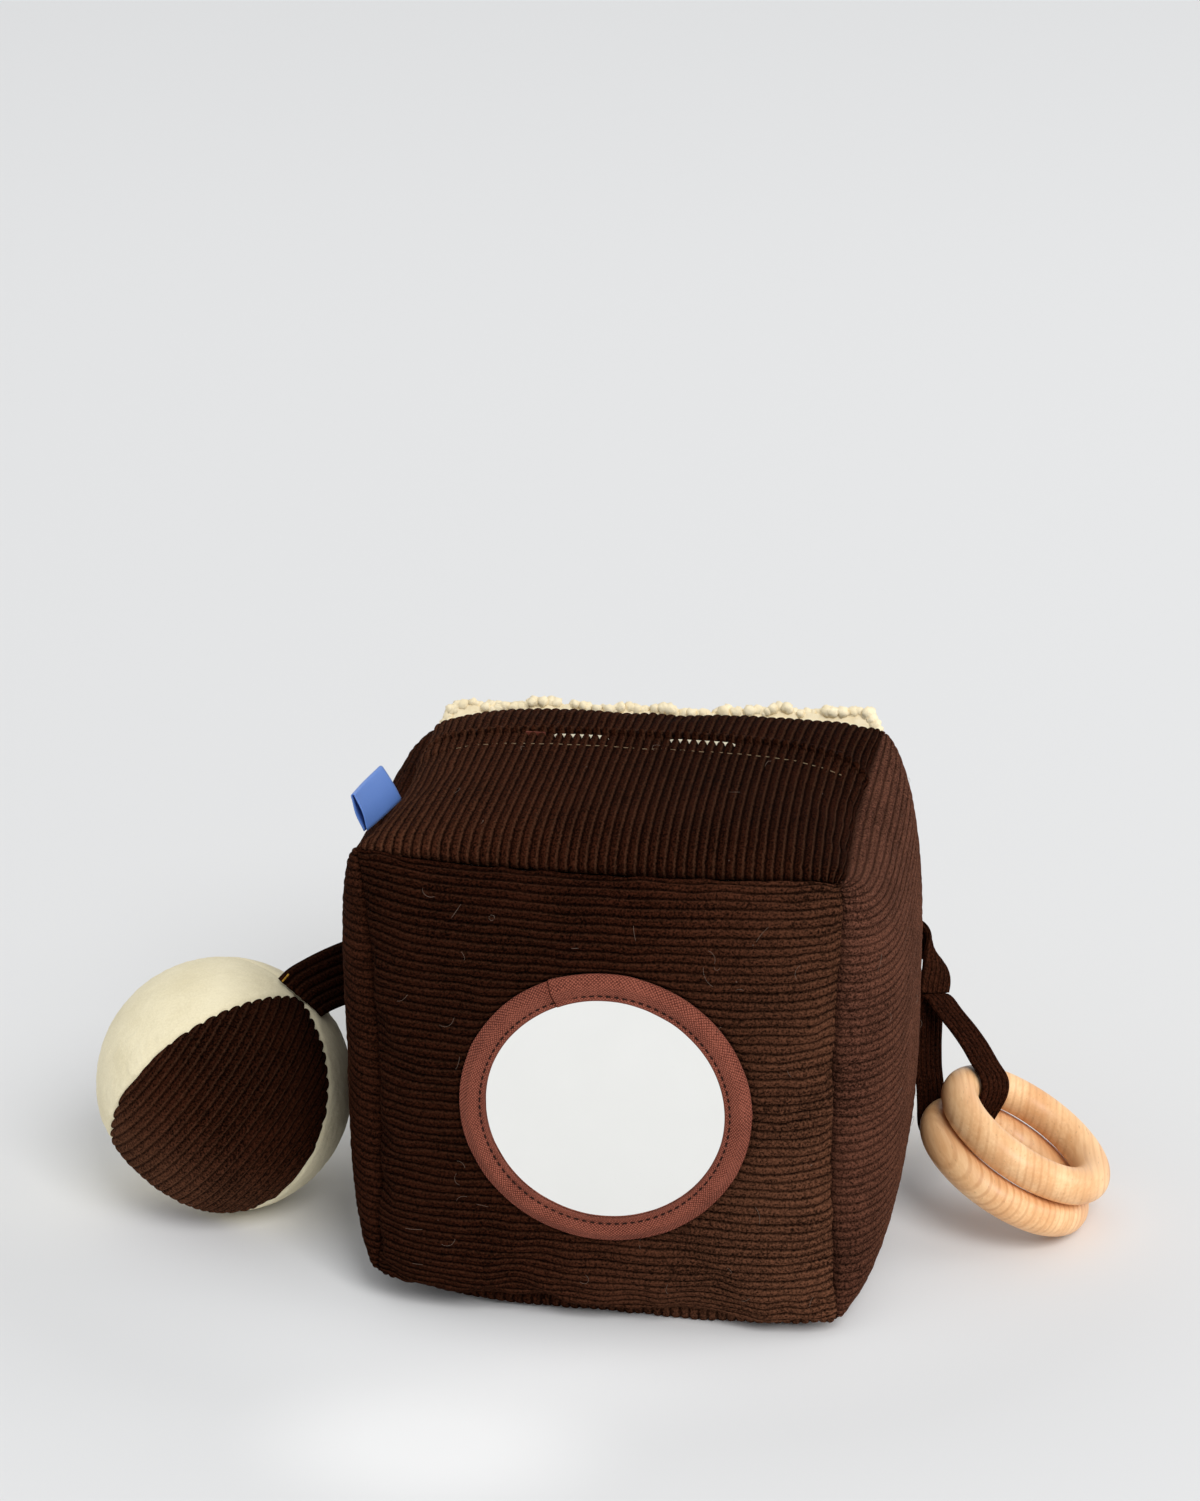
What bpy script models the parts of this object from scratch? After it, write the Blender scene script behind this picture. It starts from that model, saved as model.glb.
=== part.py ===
"""Soft fabric block for a baby: a stuffed cloth cube with a mirror, a slit pocket, a ball on a strap
and two wooden rings in a strap loop.

Units are metres. X runs to the right, Y to the back and Z up. The mirror faces -Y. The origin is the
middle of the flat that the block stands on.
"""
import math

import bmesh
import bpy
from mathutils import Matrix, Vector

COLLECTION_NAME = "soft_fabric_block"

# The block, from seam to seam
BLOCK_WIDTH = 0.150
BLOCK_DEPTH = 0.134
BLOCK_HEIGHT = 0.150
SEAM_DRAW = 0.0028
FRONT_SWELL = 0.0115
LEFT_SWELL = 0.0135
RIGHT_SWELL = 0.0175
BACK_SWELL = 0.010
TOP_SWELL = 0.011
BOTTOM_SWELL = 0.009
MIRROR_SEAT = 0.0098
FLOOR_SEAT = 0.006
CROWN_POWER = 3
DRAW_POWER = 6
PANEL_CELLS = 10

# How far the stuffing lets some of the corners rise or sink
LOW_LEFT_FRONT_RISE = 0.0065
LOW_RIGHT_FRONT_RISE = 0.0045
LOW_LEFT_REAR_RISE = 0.0050
LOW_RIGHT_REAR_RISE = 0.0040
TOP_LEFT_REAR_SINK = 0.0075
CORNER_POWER = 5

# Cloth and the gaps between sewn pieces
CORDUROY_THICKNESS = 0.0020
SHERPA_PILE = 0.0060
SHERPA_SIDE_POWER = 8
LINING_THICKNESS = 0.0010
SEAM_GAP = 0.0003
FILLING_GAP = 0.0012

# Slit and pocket in the top
SLIT_PLACE_SHARE = 0.22
SLIT_LENGTH = 0.110
SLIT_WIDTH = 0.0060
SLIT_POWER = 6
TOP_FRONT_CELLS = 7
TOP_REAR_CELLS = 4
POCKET_WIDTH = 0.104
POCKET_THROAT = 0.0050
POCKET_DEPTH = 0.089
CUT_OVERRUN = 0.013
TAPE_LENGTH = 0.012
TAPE_HEIGHT = 0.010
TAPE_THICKNESS = 0.0009
TAPE_START = -0.042

# Mirror and its binding
MIRROR_RADIUS = 0.0405
MIRROR_THICKNESS = 0.0012
MIRROR_PLACE_X = 0.0016
MIRROR_PLACE_Z = 0.0812
MIRROR_BEVEL = 0.0003
BINDING_OVERLAP = 0.0025
BINDING_SKIRT = 0.0060
BINDING_THICKNESS = 0.0012
BINDING_STEPS = 40

# Side label, a folded loop of ribbon in the left top seam
LABEL_LENGTH = 0.032
LABEL_HEIGHT = 0.0135
LABEL_PLY = 0.0005
LABEL_FOLD_GAP = 0.0005
LABEL_LEAN = 0.0045
LABEL_FRONT = -0.046
LABEL_OUT = 0.0030
LABEL_LIFT = 0.0016

# Ball
BALL_RADIUS = 0.0425
BALL_PLACE_X = -0.1390
BALL_PLACE_Y = -0.0010
BALL_POLE_SHARES = (0.620, 0.036, 0.784)
BALL_GORE_AIM_SHARES = (0.17, -0.97, 0)
WIDE_GORE_SPREAD = math.radians(96)
NARROW_GORE_SPREAD = math.radians(84)
BALL_GIRTH_SHARE = 1.02
BALL_FLAT_START_SHARE = 0.72
BALL_FLAT_SQUASH_SHARE = 0.62
GORE_CELLS_ACROSS = 6
GORE_CELLS_ALONG = 12
POLE_HOLE_RADIUS = 0.0030
FILLING_SEGMENTS = 20
FILLING_RINGS = 12

# Straps
STRAP_WIDTH = 0.0175
STRAP_THICKNESS = 0.0024
STEM_THICKNESS = 0.0036
BALL_STRAP_ROOT_WIDTH = 0.0220
BALL_STRAP_HEIGHT = 0.0640
RING_STRAP_HEIGHT = 0.0810
BALL_STRAP_SEAM_OFFSET = 0.0018
RING_STRAP_SEAM_OFFSET = 0.0026
STRAP_LEAVE_ANGLE = math.radians(23)
BALL_STRAP_OUT = 0.0160
BALL_STRAP_RISE = 0.0085
RING_STEM_OUT = 0.0240
RING_STEM_RISE = 0.0080
STRAP_STATIONS = 14
STEM_STATIONS = 14
STRAP_CORNER_SHARE = 0.35
ROUND_END_STEPS = 3

# Wooden rings and the loop that holds them
RING_OUTER_DIAMETER = 0.0650
RING_SECTION = 0.0125
RING_SEGMENTS = 40
RING_SECTION_SEGMENTS = 12
RING_AXIS_SHARES = (0.510, 0.050, 0.859)
RING_PLACE_X = 0.1230
RING_PLACE_Y = 0.0215
RING_STACK_GAP = 0.0004
RING_STACK_SHIFT = 0.0020
LOOP_ANGLE = math.radians(-33)
LOOP_CLEARANCE = 0.0022
LOOP_THROAT_RADIUS = 0.0026
LOOP_THROAT_OUT = 0.0285
LOOP_THROAT_UP = 0.0120
LOOP_STEM_ANGLE = math.radians(55)
LOOP_STEM_GAP = 0.0005
LOOP_ARC_STEP = math.radians(20)

# Helpers that follow from the sizes above
HALF = Vector((BLOCK_WIDTH / 2, BLOCK_DEPTH / 2, BLOCK_HEIGHT / 2))
BLOCK_MIDDLE = Vector((0, 0, FLOOR_SEAT + BLOCK_HEIGHT / 2))
POCKET_TOP = BLOCK_MIDDLE.z + HALF.z + TOP_SWELL
POCKET_BOTTOM = POCKET_TOP - POCKET_DEPTH
FACES = {
    "front": ("-Y", FRONT_SWELL, MIRROR_SEAT),
    "back": ("+Y", BACK_SWELL, BACK_SWELL),
    "left": ("-X", LEFT_SWELL, LEFT_SWELL),
    "right": ("+X", RIGHT_SWELL, RIGHT_SWELL),
    "bottom": ("-Z", BOTTOM_SWELL, FLOOR_SEAT),
    "top": ("+Z", TOP_SWELL, TOP_SWELL),
}
CORNERS = (
    ("---", LOW_LEFT_FRONT_RISE),
    ("+--", LOW_RIGHT_FRONT_RISE),
    ("-+-", LOW_LEFT_REAR_RISE),
    ("++-", LOW_RIGHT_REAR_RISE),
    ("-++", -TOP_LEFT_REAR_SINK),
)
SLIT_PLACE_Y = math.sin(SLIT_PLACE_SHARE * math.pi / 2) * (HALF.y - SEAM_DRAW)
RING_RADIUS = (RING_OUTER_DIAMETER - RING_SECTION) / 2
RING_AXIS = Vector(RING_AXIS_SHARES).normalized()
BALL_POLE = Vector(BALL_POLE_SHARES).normalized()
BALL_GORE_AIM = Vector(BALL_GORE_AIM_SHARES)
BINDING_INNER_RADIUS = MIRROR_RADIUS - BINDING_OVERLAP
BINDING_OUTER_RADIUS = MIRROR_RADIUS + BINDING_SKIRT


def clear_scene():
    """Remove whatever the scene holds."""
    for thing in list(bpy.data.objects):
        bpy.data.objects.remove(thing, do_unlink=True)


def new_collection(name):
    """Add a collection to the scene."""
    collection = bpy.data.collections.new(name)
    bpy.context.scene.collection.children.link(collection)
    return collection


def material(name, colour, roughness, metallic=0.0):
    """Make one plain finish."""
    finish = bpy.data.materials.new(name)
    finish.use_nodes = True
    shader = finish.node_tree.nodes["Principled BSDF"]
    shader.inputs["Base Color"].default_value = (*colour, 1.0)
    shader.inputs["Roughness"].default_value = roughness
    shader.inputs["Metallic"].default_value = metallic
    return finish


def add_object(name, mesh_builder, collection, finish=None):
    """Turn a bmesh into a named object."""
    mesh = bpy.data.meshes.new(name)
    mesh_builder.to_mesh(mesh)
    mesh_builder.free()
    piece = bpy.data.objects.new(name, mesh)
    collection.objects.link(piece)
    if finish is not None:
        mesh.materials.append(finish)
    return piece


def add_cutter(name, mesh_builder, collection):
    """Turn a bmesh into a wire object that only cuts others."""
    cutter = add_object(name, mesh_builder, collection)
    cutter.hide_render = True
    cutter.display_type = "WIRE"
    return cutter


def cut(piece, cutter, operation="DIFFERENCE"):
    """Let one object cut another."""
    modifier = piece.modifiers.new(cutter.name, "BOOLEAN")
    modifier.operation = operation
    modifier.solver = "EXACT"
    modifier.object = cutter


def soften(piece, angle=math.radians(40)):
    """Shade the rounded sides smooth."""
    piece.data.shade_smooth()
    piece.data.set_sharp_from_angle(angle=angle)


def add_pivot(name, place, collection, parent=None):
    """Put an empty on a joint's axis."""
    pivot = bpy.data.objects.new(name, None)
    collection.objects.link(pivot)
    pivot.location = place
    if parent is not None:
        pivot.parent = parent
        pivot.location = place - parent.matrix_world.translation
    bpy.context.view_layer.update()
    return pivot


def hang_on(piece, pivot):
    """Make a piece built in world places turn with a joint's empty."""
    turned = pivot.matrix_world.inverted() @ piece.matrix_world
    piece.parent = pivot
    piece.matrix_basis = turned


def smooth_step(share):
    """Ease a share from 0 to 1."""
    return share * share * (3 - 2 * share)


def corner_rise(point):
    """How far a point near one of the block's corners rises or sinks with it."""
    total = 0.0
    for signs, rise in CORNERS:
        near = 1.0
        for i, sign in enumerate(signs):
            side = 1 if sign == "+" else -1
            near *= min(max((1 + side * point[i] / HALF[i]) / 2, 0), 1)
        total += rise * near ** CORNER_POWER
    return total


def face_aim(face):
    """The axis that a face of the block looks along, and its side of the middle."""
    aim = FACES[face][0]
    return "XYZ".index(aim[1]), 1 if aim[0] == "+" else -1


def block_point(face, unit, depth=0.0, inset=0.0):
    """Place a point of a unit cube's face on the stuffed block, some depth under its cloth.

    The face swells between its seams, the middle of each seam is drawn in, and some corners rise
    or sink.
    """
    axis, side = face_aim(face)
    _, swell, seat = FACES[face]
    first, second = [i for i in range(3) if i != axis]
    spread = [math.sin(value * math.pi / 2) for value in unit]
    room = [1 - value ** 2 for value in spread]
    point = Vector((0, 0, 0))
    for along, across in ((first, second), (second, first)):
        half = HALF[along] - depth - inset - SEAM_DRAW * room[across]
        point[along] = spread[along] * half
    crown = 1.0
    for i in (first, second):
        crown *= max(1 - abs(spread[i]) ** CROWN_POWER, 0) ** (1 / CROWN_POWER)
    drawn = room[second] * abs(spread[first]) ** DRAW_POWER + room[first] * abs(spread[second]) ** DRAW_POWER
    lift = min(swell * crown, seat)
    point[axis] = side * (HALF[axis] - depth + lift - SEAM_DRAW * drawn)
    if face != "bottom" or lift < seat:
        point.z += corner_rise(point)
    return point + BLOCK_MIDDLE


def unit_slab(axis, cells):
    """A cube from -1 to 1 whose two faces across the axis are grids."""
    bm = bmesh.new()
    bmesh.ops.create_cube(bm, size=2)
    for direction, count in cells.items():
        if direction == axis or count < 2:
            continue
        edges = [e for e in bm.edges if abs(e.verts[0].co[direction] - e.verts[1].co[direction]) > 1]
        bmesh.ops.subdivide_edges(bm, edges=edges, cuts=count - 1, use_grid_fill=True)
    return bm


def panel(name, face, finish, collection, pile=0.0):
    """One sewn panel of the block, as a crowned sheet with mitred rims and perhaps a pile.

    The pile dies away at the upright seams.
    """
    axis, side = face_aim(face)
    bm = unit_slab(axis, {i: PANEL_CELLS for i in range(3)})
    for vert in bm.verts:
        depth = CORDUROY_THICKNESS
        if vert.co[axis] * side > 0:
            depth = -pile * (1 - abs(math.sin(vert.co.x * math.pi / 2)) ** SHERPA_SIDE_POWER)
        vert.co = block_point(face, vert.co, depth, SEAM_GAP)
    piece = add_object(name, bm, collection, finish)
    soften(piece)
    return piece


def slit_half_width(x):
    """Half of the slit's opening at a place along it."""
    reach = x / (SLIT_LENGTH / 2)
    return SLIT_WIDTH / 2 * max(1 - reach ** 2, 0) + SEAM_GAP / 2


def top_panel(name, low_share, high_share, cells, slit_side, finish, collection):
    """One of the two hemmed top panels, from a seam to the slit."""
    bm = unit_slab(2, {0: PANEL_CELLS, 1: cells})
    for vert in bm.verts:
        across = (vert.co.y + 1) / 2
        depth = 0.0 if vert.co.z > 0 else CORDUROY_THICKNESS
        unit = Vector((vert.co.x, low_share + across * (high_share - low_share), 1))
        point = block_point("top", unit, depth, SEAM_GAP)
        near = across if slit_side > 0 else 1 - across
        lip_y = block_point("top", unit, 0, SEAM_GAP).y - slit_side * slit_half_width(point.x)
        point.y += (lip_y - point.y) * near ** SLIT_POWER
        vert.co = point
    piece = add_object(name, bm, collection, finish)
    soften(piece)
    return piece


def block_envelope(depth):
    """The whole block's stuffed shape, some depth under its cloth."""
    bm = unit_slab(None, {i: PANEL_CELLS for i in range(3)})
    faces = {face_aim(name): name for name in FACES}
    for vert in bm.verts:
        axis = max(range(3), key=lambda i: abs(vert.co[i]))
        side = 1 if vert.co[axis] > 0 else -1
        vert.co = block_point(faces[axis, side], vert.co, depth)
    return bm


def box(low, high):
    """A box between two corners."""
    bm = bmesh.new()
    bmesh.ops.create_cube(bm, size=1)
    middle = (low + high) / 2
    span = high - low
    for vert in bm.verts:
        vert.co = middle + Vector([vert.co[i] * span[i] for i in range(3)])
    return bm


def pocket_box(margin, bottom):
    """The pocket's box about the slit, wider on each side by a margin."""
    half = Vector((POCKET_WIDTH / 2 + margin, POCKET_THROAT / 2 + margin, 0))
    centre = Vector((0, SLIT_PLACE_Y, 0))
    low = centre - half + Vector((0, 0, bottom))
    high = centre + half + Vector((0, 0, POCKET_TOP + CUT_OVERRUN))
    return box(low, high)


def make_block(pieces, cutters, finishes):
    """The cube's filling, panels, slit pocket and pocket tape."""
    corduroy = finishes["corduroy"]
    for name, face in (("front_panel", "front"), ("left_panel", "left"),
                       ("right_panel", "right"), ("bottom_panel", "bottom")):
        panel(name, face, corduroy, pieces)
    panel("back_panel", "back", finishes["sherpa"], pieces, SHERPA_PILE)
    top_panel("top_front_panel", -1, SLIT_PLACE_SHARE, TOP_FRONT_CELLS, 1, corduroy, pieces)
    top_panel("top_rear_panel", SLIT_PLACE_SHARE, 1, TOP_REAR_CELLS, -1, corduroy, pieces)

    under_cloth = add_cutter("under_cloth", block_envelope(CORDUROY_THICKNESS + SEAM_GAP), cutters)
    lining_room = add_cutter("lining_room", pocket_box(0, POCKET_BOTTOM), cutters)
    lining = add_object("pocket_lining", pocket_box(LINING_THICKNESS, POCKET_BOTTOM - LINING_THICKNESS),
                        pieces, finishes["lining"])
    cut(lining, under_cloth, "INTERSECT")
    cut(lining, lining_room)

    slot_margin = LINING_THICKNESS + SEAM_GAP
    slot = add_cutter("filling_slot", pocket_box(slot_margin, POCKET_BOTTOM - slot_margin), cutters)
    filling = add_object("block_filling", block_envelope(CORDUROY_THICKNESS + FILLING_GAP), pieces,
                         finishes["filling"])
    soften(filling)
    cut(filling, slot)

    tape_front = SLIT_PLACE_Y - POCKET_THROAT / 2 + SEAM_GAP
    tape_top = block_point("top", (0, SLIT_PLACE_SHARE, 1), CORDUROY_THICKNESS).z
    tape_low = Vector((TAPE_START, tape_front, tape_top - TAPE_HEIGHT))
    tape_high = Vector((TAPE_START + TAPE_LENGTH, tape_front + TAPE_THICKNESS, tape_top))
    tape = add_object("pocket_tape", box(tape_low, tape_high), pieces, finishes["binding"])
    cut(tape, under_cloth, "INTERSECT")


def make_mirror(pieces, finishes):
    """The flexible mirror and the cloth binding that is sewn over its rim."""
    seat_y = -HALF.y - MIRROR_SEAT - SEAM_GAP
    facing = Matrix.Rotation(math.pi / 2, 4, "X")
    place = Matrix.Translation((MIRROR_PLACE_X, seat_y, MIRROR_PLACE_Z)) @ facing

    bm = bmesh.new()
    bmesh.ops.create_cone(bm, cap_ends=True, segments=BINDING_STEPS, radius1=MIRROR_RADIUS,
                          radius2=MIRROR_RADIUS, depth=MIRROR_THICKNESS)
    bmesh.ops.translate(bm, verts=bm.verts, vec=(0, 0, MIRROR_THICKNESS / 2))
    mirror = add_object("mirror_disc", bm, pieces, finishes["mirror"])
    mirror.matrix_world = place
    edge = mirror.modifiers.new("edge", "BEVEL")
    edge.width = MIRROR_BEVEL
    edge.segments = 1

    step_radius = MIRROR_RADIUS + SEAM_GAP
    step_height = MIRROR_THICKNESS + SEAM_GAP
    top = step_height + BINDING_THICKNESS
    shoulder_radius = (step_radius + BINDING_OUTER_RADIUS) / 2
    profile = [
        (BINDING_INNER_RADIUS, (step_height + top) / 2),
        (BINDING_INNER_RADIUS + BINDING_THICKNESS / 2, top),
        (shoulder_radius, top),
        (BINDING_OUTER_RADIUS - BINDING_THICKNESS / 2, BINDING_THICKNESS + SEAM_GAP),
        (BINDING_OUTER_RADIUS, BINDING_THICKNESS / 2),
        (BINDING_OUTER_RADIUS, 0),
        (step_radius, 0),
        (step_radius, step_height),
        (BINDING_INNER_RADIUS, step_height),
    ]
    bm = bmesh.new()
    corners = [bm.verts.new((x, 0, z)) for x, z in profile]
    for start, end in zip(corners, corners[1:] + corners[:1]):
        bm.edges.new((start, end))
    binding = add_object("mirror_binding", bm, pieces, finishes["binding"])
    turn = binding.modifiers.new("turn", "SCREW")
    turn.steps = BINDING_STEPS
    turn.render_steps = BINDING_STEPS
    turn.use_merge_vertices = True
    turn.merge_threshold = 0.00001
    turn.use_smooth_shade = False
    binding.matrix_world = place


def make_label(pieces, finishes):
    """A ribbon folded in two, standing out of the left top seam."""
    ends = []
    for y, shift in ((LABEL_FRONT, -LABEL_OUT), (LABEL_FRONT + LABEL_LENGTH, 0)):
        seam = block_point("top", (-1, math.asin(y / HALF.y) / (math.pi / 2), 1))
        ends.append(Vector((seam.x + shift, y, seam.z + LABEL_LIFT)))
    front, rear = ends
    up = Vector((-LABEL_LEAN, 0, LABEL_HEIGHT)).normalized()
    out = Vector((-up.z, 0, up.x))
    side = LABEL_FOLD_GAP / 2
    full = side + LABEL_PLY
    reach = LABEL_HEIGHT
    outline = [(-full, 0), (-side, 0), (-side, reach - full), (side, reach - full), (side, 0), (full, 0),
               (full, reach - side), (side, reach), (-side, reach), (-full, reach - side)]
    bm = bmesh.new()
    corners = [bm.verts.new(front + out * a + up * b) for a, b in outline]
    ribbon = bm.faces.new(corners)
    grown = bmesh.ops.extrude_face_region(bm, geom=[ribbon], use_keep_orig=True)
    moved = [item for item in grown["geom"] if isinstance(item, bmesh.types.BMVert)]
    bmesh.ops.translate(bm, verts=moved, vec=rear - front)
    bmesh.ops.recalc_face_normals(bm, faces=bm.faces)
    label = add_object("side_label", bm, pieces, finishes["label"])
    pivot = add_pivot("label_pivot", (front + rear) / 2, pieces)
    hang_on(label, pivot)


def ball_point(direction, depth):
    """Place a direction in the ball's own frame, with its pole along Z, on the stuffed ball."""
    radius = BALL_RADIUS - depth
    point = Vector(direction) * radius
    point.x *= BALL_GIRTH_SHARE
    point.y *= BALL_GIRTH_SHARE
    flat_start = -BALL_FLAT_START_SHARE * radius
    if point.z < flat_start:
        point.z = flat_start + (point.z - flat_start) * BALL_FLAT_SQUASH_SHARE
    return point


def ball_frame():
    """Turn the ball's own frame so that its pole aims at the strap and the brown gore faces forward."""
    aim = (BALL_GORE_AIM - BALL_POLE * BALL_GORE_AIM.dot(BALL_POLE)).normalized()
    side = BALL_POLE.cross(aim)
    turn = Matrix((aim, side, BALL_POLE)).transposed().to_4x4()
    lowest = 0.0
    steps = 90
    for i in range(steps + 1):
        tilt = math.pi * i / steps
        for j in range(steps):
            spin = 2 * math.pi * j / steps
            direction = (math.sin(tilt) * math.cos(spin), math.sin(tilt) * math.sin(spin), math.cos(tilt))
            lowest = min(lowest, (turn @ ball_point(direction, 0)).z)
    return Matrix.Translation((BALL_PLACE_X, BALL_PLACE_Y, -lowest)) @ turn


def gore(name, middle, spread, frame, finish, collection):
    """One of the four sewn segments of the ball's cover, about the middle of its spread."""
    bm = unit_slab(0, {1: GORE_CELLS_ACROSS, 2: GORE_CELLS_ALONG})
    hole = math.asin(POLE_HOLE_RADIUS / BALL_RADIUS)
    for vert in bm.verts:
        tilt = hole + (1 - vert.co.z) / 2 * (math.pi - 2 * hole)
        depth = 0.0 if vert.co.x > 0 else CORDUROY_THICKNESS
        inset = SEAM_GAP / 2 / ((BALL_RADIUS - depth) * math.sin(tilt))
        spin = vert.co.y * (spread / 2 - inset) + middle
        direction = (math.sin(tilt) * math.cos(spin), math.sin(tilt) * math.sin(spin), math.cos(tilt))
        vert.co = frame @ ball_point(direction, depth)
    piece = add_object(name, bm, collection, finish)
    soften(piece)
    return piece


def make_ball(pieces, finishes, strap_pivot):
    """The ball's filling and its four gores, one brown and three cream, turning at the strap's end."""
    frame = ball_frame()
    neck = frame @ Vector((0, 0, BALL_RADIUS + SEAM_GAP + STRAP_THICKNESS / 2))
    pivot = add_pivot("ball_pivot", neck, pieces, strap_pivot)
    corduroy = finishes["corduroy"]
    velour = finishes["velour"]
    for name, middle, spread, finish in (("ball_gore_front", 0, WIDE_GORE_SPREAD, corduroy),
                                         ("ball_gore_right", math.pi / 2, NARROW_GORE_SPREAD, velour),
                                         ("ball_gore_rear", math.pi, WIDE_GORE_SPREAD, velour),
                                         ("ball_gore_left", -math.pi / 2, NARROW_GORE_SPREAD, velour)):
        hang_on(gore(name, middle, spread, frame, finish, pieces), pivot)
    bm = bmesh.new()
    bmesh.ops.create_uvsphere(bm, u_segments=FILLING_SEGMENTS, v_segments=FILLING_RINGS, radius=1)
    for vert in bm.verts:
        vert.co = frame @ ball_point(vert.co.normalized(), CORDUROY_THICKNESS + FILLING_GAP)
    filling = add_object("ball_filling", bm, pieces, finishes["filling"])
    soften(filling)
    hang_on(filling, pivot)
    return frame


def band_section(width, thickness):
    """Corners of a band's cross-section, with eased edges, as places across and through it."""
    half = width / 2
    deep = thickness / 2
    ease = thickness * STRAP_CORNER_SHARE
    return [(half - ease, deep), (half, deep - ease), (half, ease - deep), (half - ease, -deep),
            (ease - half, -deep), (-half, ease - deep), (-half, deep - ease), (ease - half, deep)]


def rounded_end(section, thickness):
    """Sections that round a band's end off in its thickness."""
    centre, along, across, width, _ = section
    deep = thickness / 2
    middle = centre - along * deep
    rounded = []
    for k in range(ROUND_END_STEPS + 1):
        angle = k / (ROUND_END_STEPS + 1) * math.pi / 2
        place = middle + along * deep * math.sin(angle)
        rounded.append((place, along, across, width, thickness * math.cos(angle)))
    return rounded


def band_direction(places, i, closed):
    """Which way a band runs at one of its stations."""
    count = len(places)
    if closed or 0 < i < count - 1:
        return (places[(i + 1) % count] - places[i - 1]).normalized()
    if i == 0:
        return (places[1] * 4 - places[0] * 3 - places[2]).normalized()
    return (places[i] * 3 - places[i - 1] * 4 + places[i - 2]).normalized()


def band(name, stations, thickness, closed, finish, collection, round_end=False):
    """A flat strap lofted through stations of (centre, direction across, width)."""
    places = [centre for centre, _, _ in stations]
    sections = []
    for i, (centre, across, width) in enumerate(stations):
        along = band_direction(places, i, closed)
        across = (across - along * across.dot(along)).normalized()
        sections.append((centre, along, across, width, thickness))
    if round_end:
        sections += rounded_end(sections.pop(), thickness)
    bm = bmesh.new()
    loops = []
    for centre, along, across, width, depth in sections:
        through = along.cross(across)
        corners = band_section(width, depth)
        loops.append([bm.verts.new(centre + across * a + through * b) for a, b in corners])
    pairs = list(zip(loops, loops[1:] + loops[:1])) if closed else list(zip(loops, loops[1:]))
    for near, far in pairs:
        for k in range(len(near)):
            after = (k + 1) % len(near)
            bm.faces.new((near[k], near[after], far[after], far[k]))
    if not closed:
        bm.faces.new(loops[0])
        bm.faces.new(list(reversed(loops[-1])))
    bmesh.ops.recalc_face_normals(bm, faces=bm.faces)
    piece = add_object(name, bm, collection, finish)
    soften(piece)
    return piece


def bezier(points, share):
    """A place on a cubic curve."""
    rest = 1 - share
    a, b, c, d = points
    return a * rest ** 3 + b * 3 * rest ** 2 * share + c * 3 * rest * share ** 2 + d * share ** 3


def strap_stations(curve, start_across, end_across, start_width, end_width, count):
    """Stations along a cubic curve, with the width's direction turning on the way."""
    stations = []
    for i in range(count):
        share = i / (count - 1)
        turned = smooth_step(share)
        across = start_across.lerp(end_across, turned)
        stations.append((bezier(curve, share), across, start_width + (end_width - start_width) * turned))
    return stations


def strap_root(side, height, offset):
    """Where and which way a strap leaves a rear upright seam, at the left (-1) or the right (1)."""
    height_share = math.asin((height - BLOCK_MIDDLE.z) / HALF.z) / (math.pi / 2)
    seam = block_point("back", (side, 1, height_share))
    leaving = Vector((side * math.cos(STRAP_LEAVE_ANGLE), math.sin(STRAP_LEAVE_ANGLE), 0))
    return seam + leaving * offset, leaving


def make_ball_strap(pieces, finishes):
    """The strap from the left rear seam to the ball's pole."""
    root, leaving = strap_root(-1, BALL_STRAP_HEIGHT, BALL_STRAP_SEAM_OFFSET)
    pivot = add_pivot("ball_strap_pivot", root, pieces)
    frame = make_ball(pieces, finishes, pivot)
    neck = frame @ Vector((0, 0, BALL_RADIUS + SEAM_GAP))
    curve = [root, root + leaving * BALL_STRAP_OUT, neck + BALL_POLE * BALL_STRAP_RISE, neck]
    down = Vector((0, 0, -1))
    facing = down - BALL_POLE * down.dot(BALL_POLE)
    stations = strap_stations(curve, down, facing.normalized(), BALL_STRAP_ROOT_WIDTH, STRAP_WIDTH,
                              STRAP_STATIONS)
    strap = band("ball_strap", stations, STRAP_THICKNESS, False, finishes["corduroy"], pieces, True)
    hang_on(strap, pivot)


def ring_directions():
    """The rings' raised radial direction, and the one across it, in the rings' plane."""
    raised = Vector((-1, 0, 0))
    raised = (raised - RING_AXIS * raised.dot(RING_AXIS)).normalized()
    return raised, RING_AXIS.cross(raised)


def ring_centres():
    """Centres of the lower and the upper ring, the lower one touching the floor."""
    sine = math.sqrt(1 - RING_AXIS.z ** 2)
    height = RING_RADIUS * sine + RING_SECTION / 2
    lower = Vector((RING_PLACE_X, RING_PLACE_Y, height))
    _, across = ring_directions()
    upper = lower + RING_AXIS * (RING_SECTION + RING_STACK_GAP) - across * RING_STACK_SHIFT
    return lower, upper


def make_ring(name, centre, finish, collection):
    """One round beech ring."""
    bpy.ops.mesh.primitive_torus_add(major_radius=RING_RADIUS, minor_radius=RING_SECTION / 2,
                                     major_segments=RING_SEGMENTS, minor_segments=RING_SECTION_SEGMENTS)
    ring = bpy.context.object
    ring.name = name
    ring.data.name = name
    ring.data.materials.append(finish)
    for owner in list(ring.users_collection):
        owner.objects.unlink(ring)
    collection.objects.link(ring)
    turn = RING_AXIS.to_track_quat("Z", "Y").to_matrix().to_4x4()
    ring.matrix_world = Matrix.Translation(centre) @ turn
    soften(ring)
    bpy.context.view_layer.update()
    return ring


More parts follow.
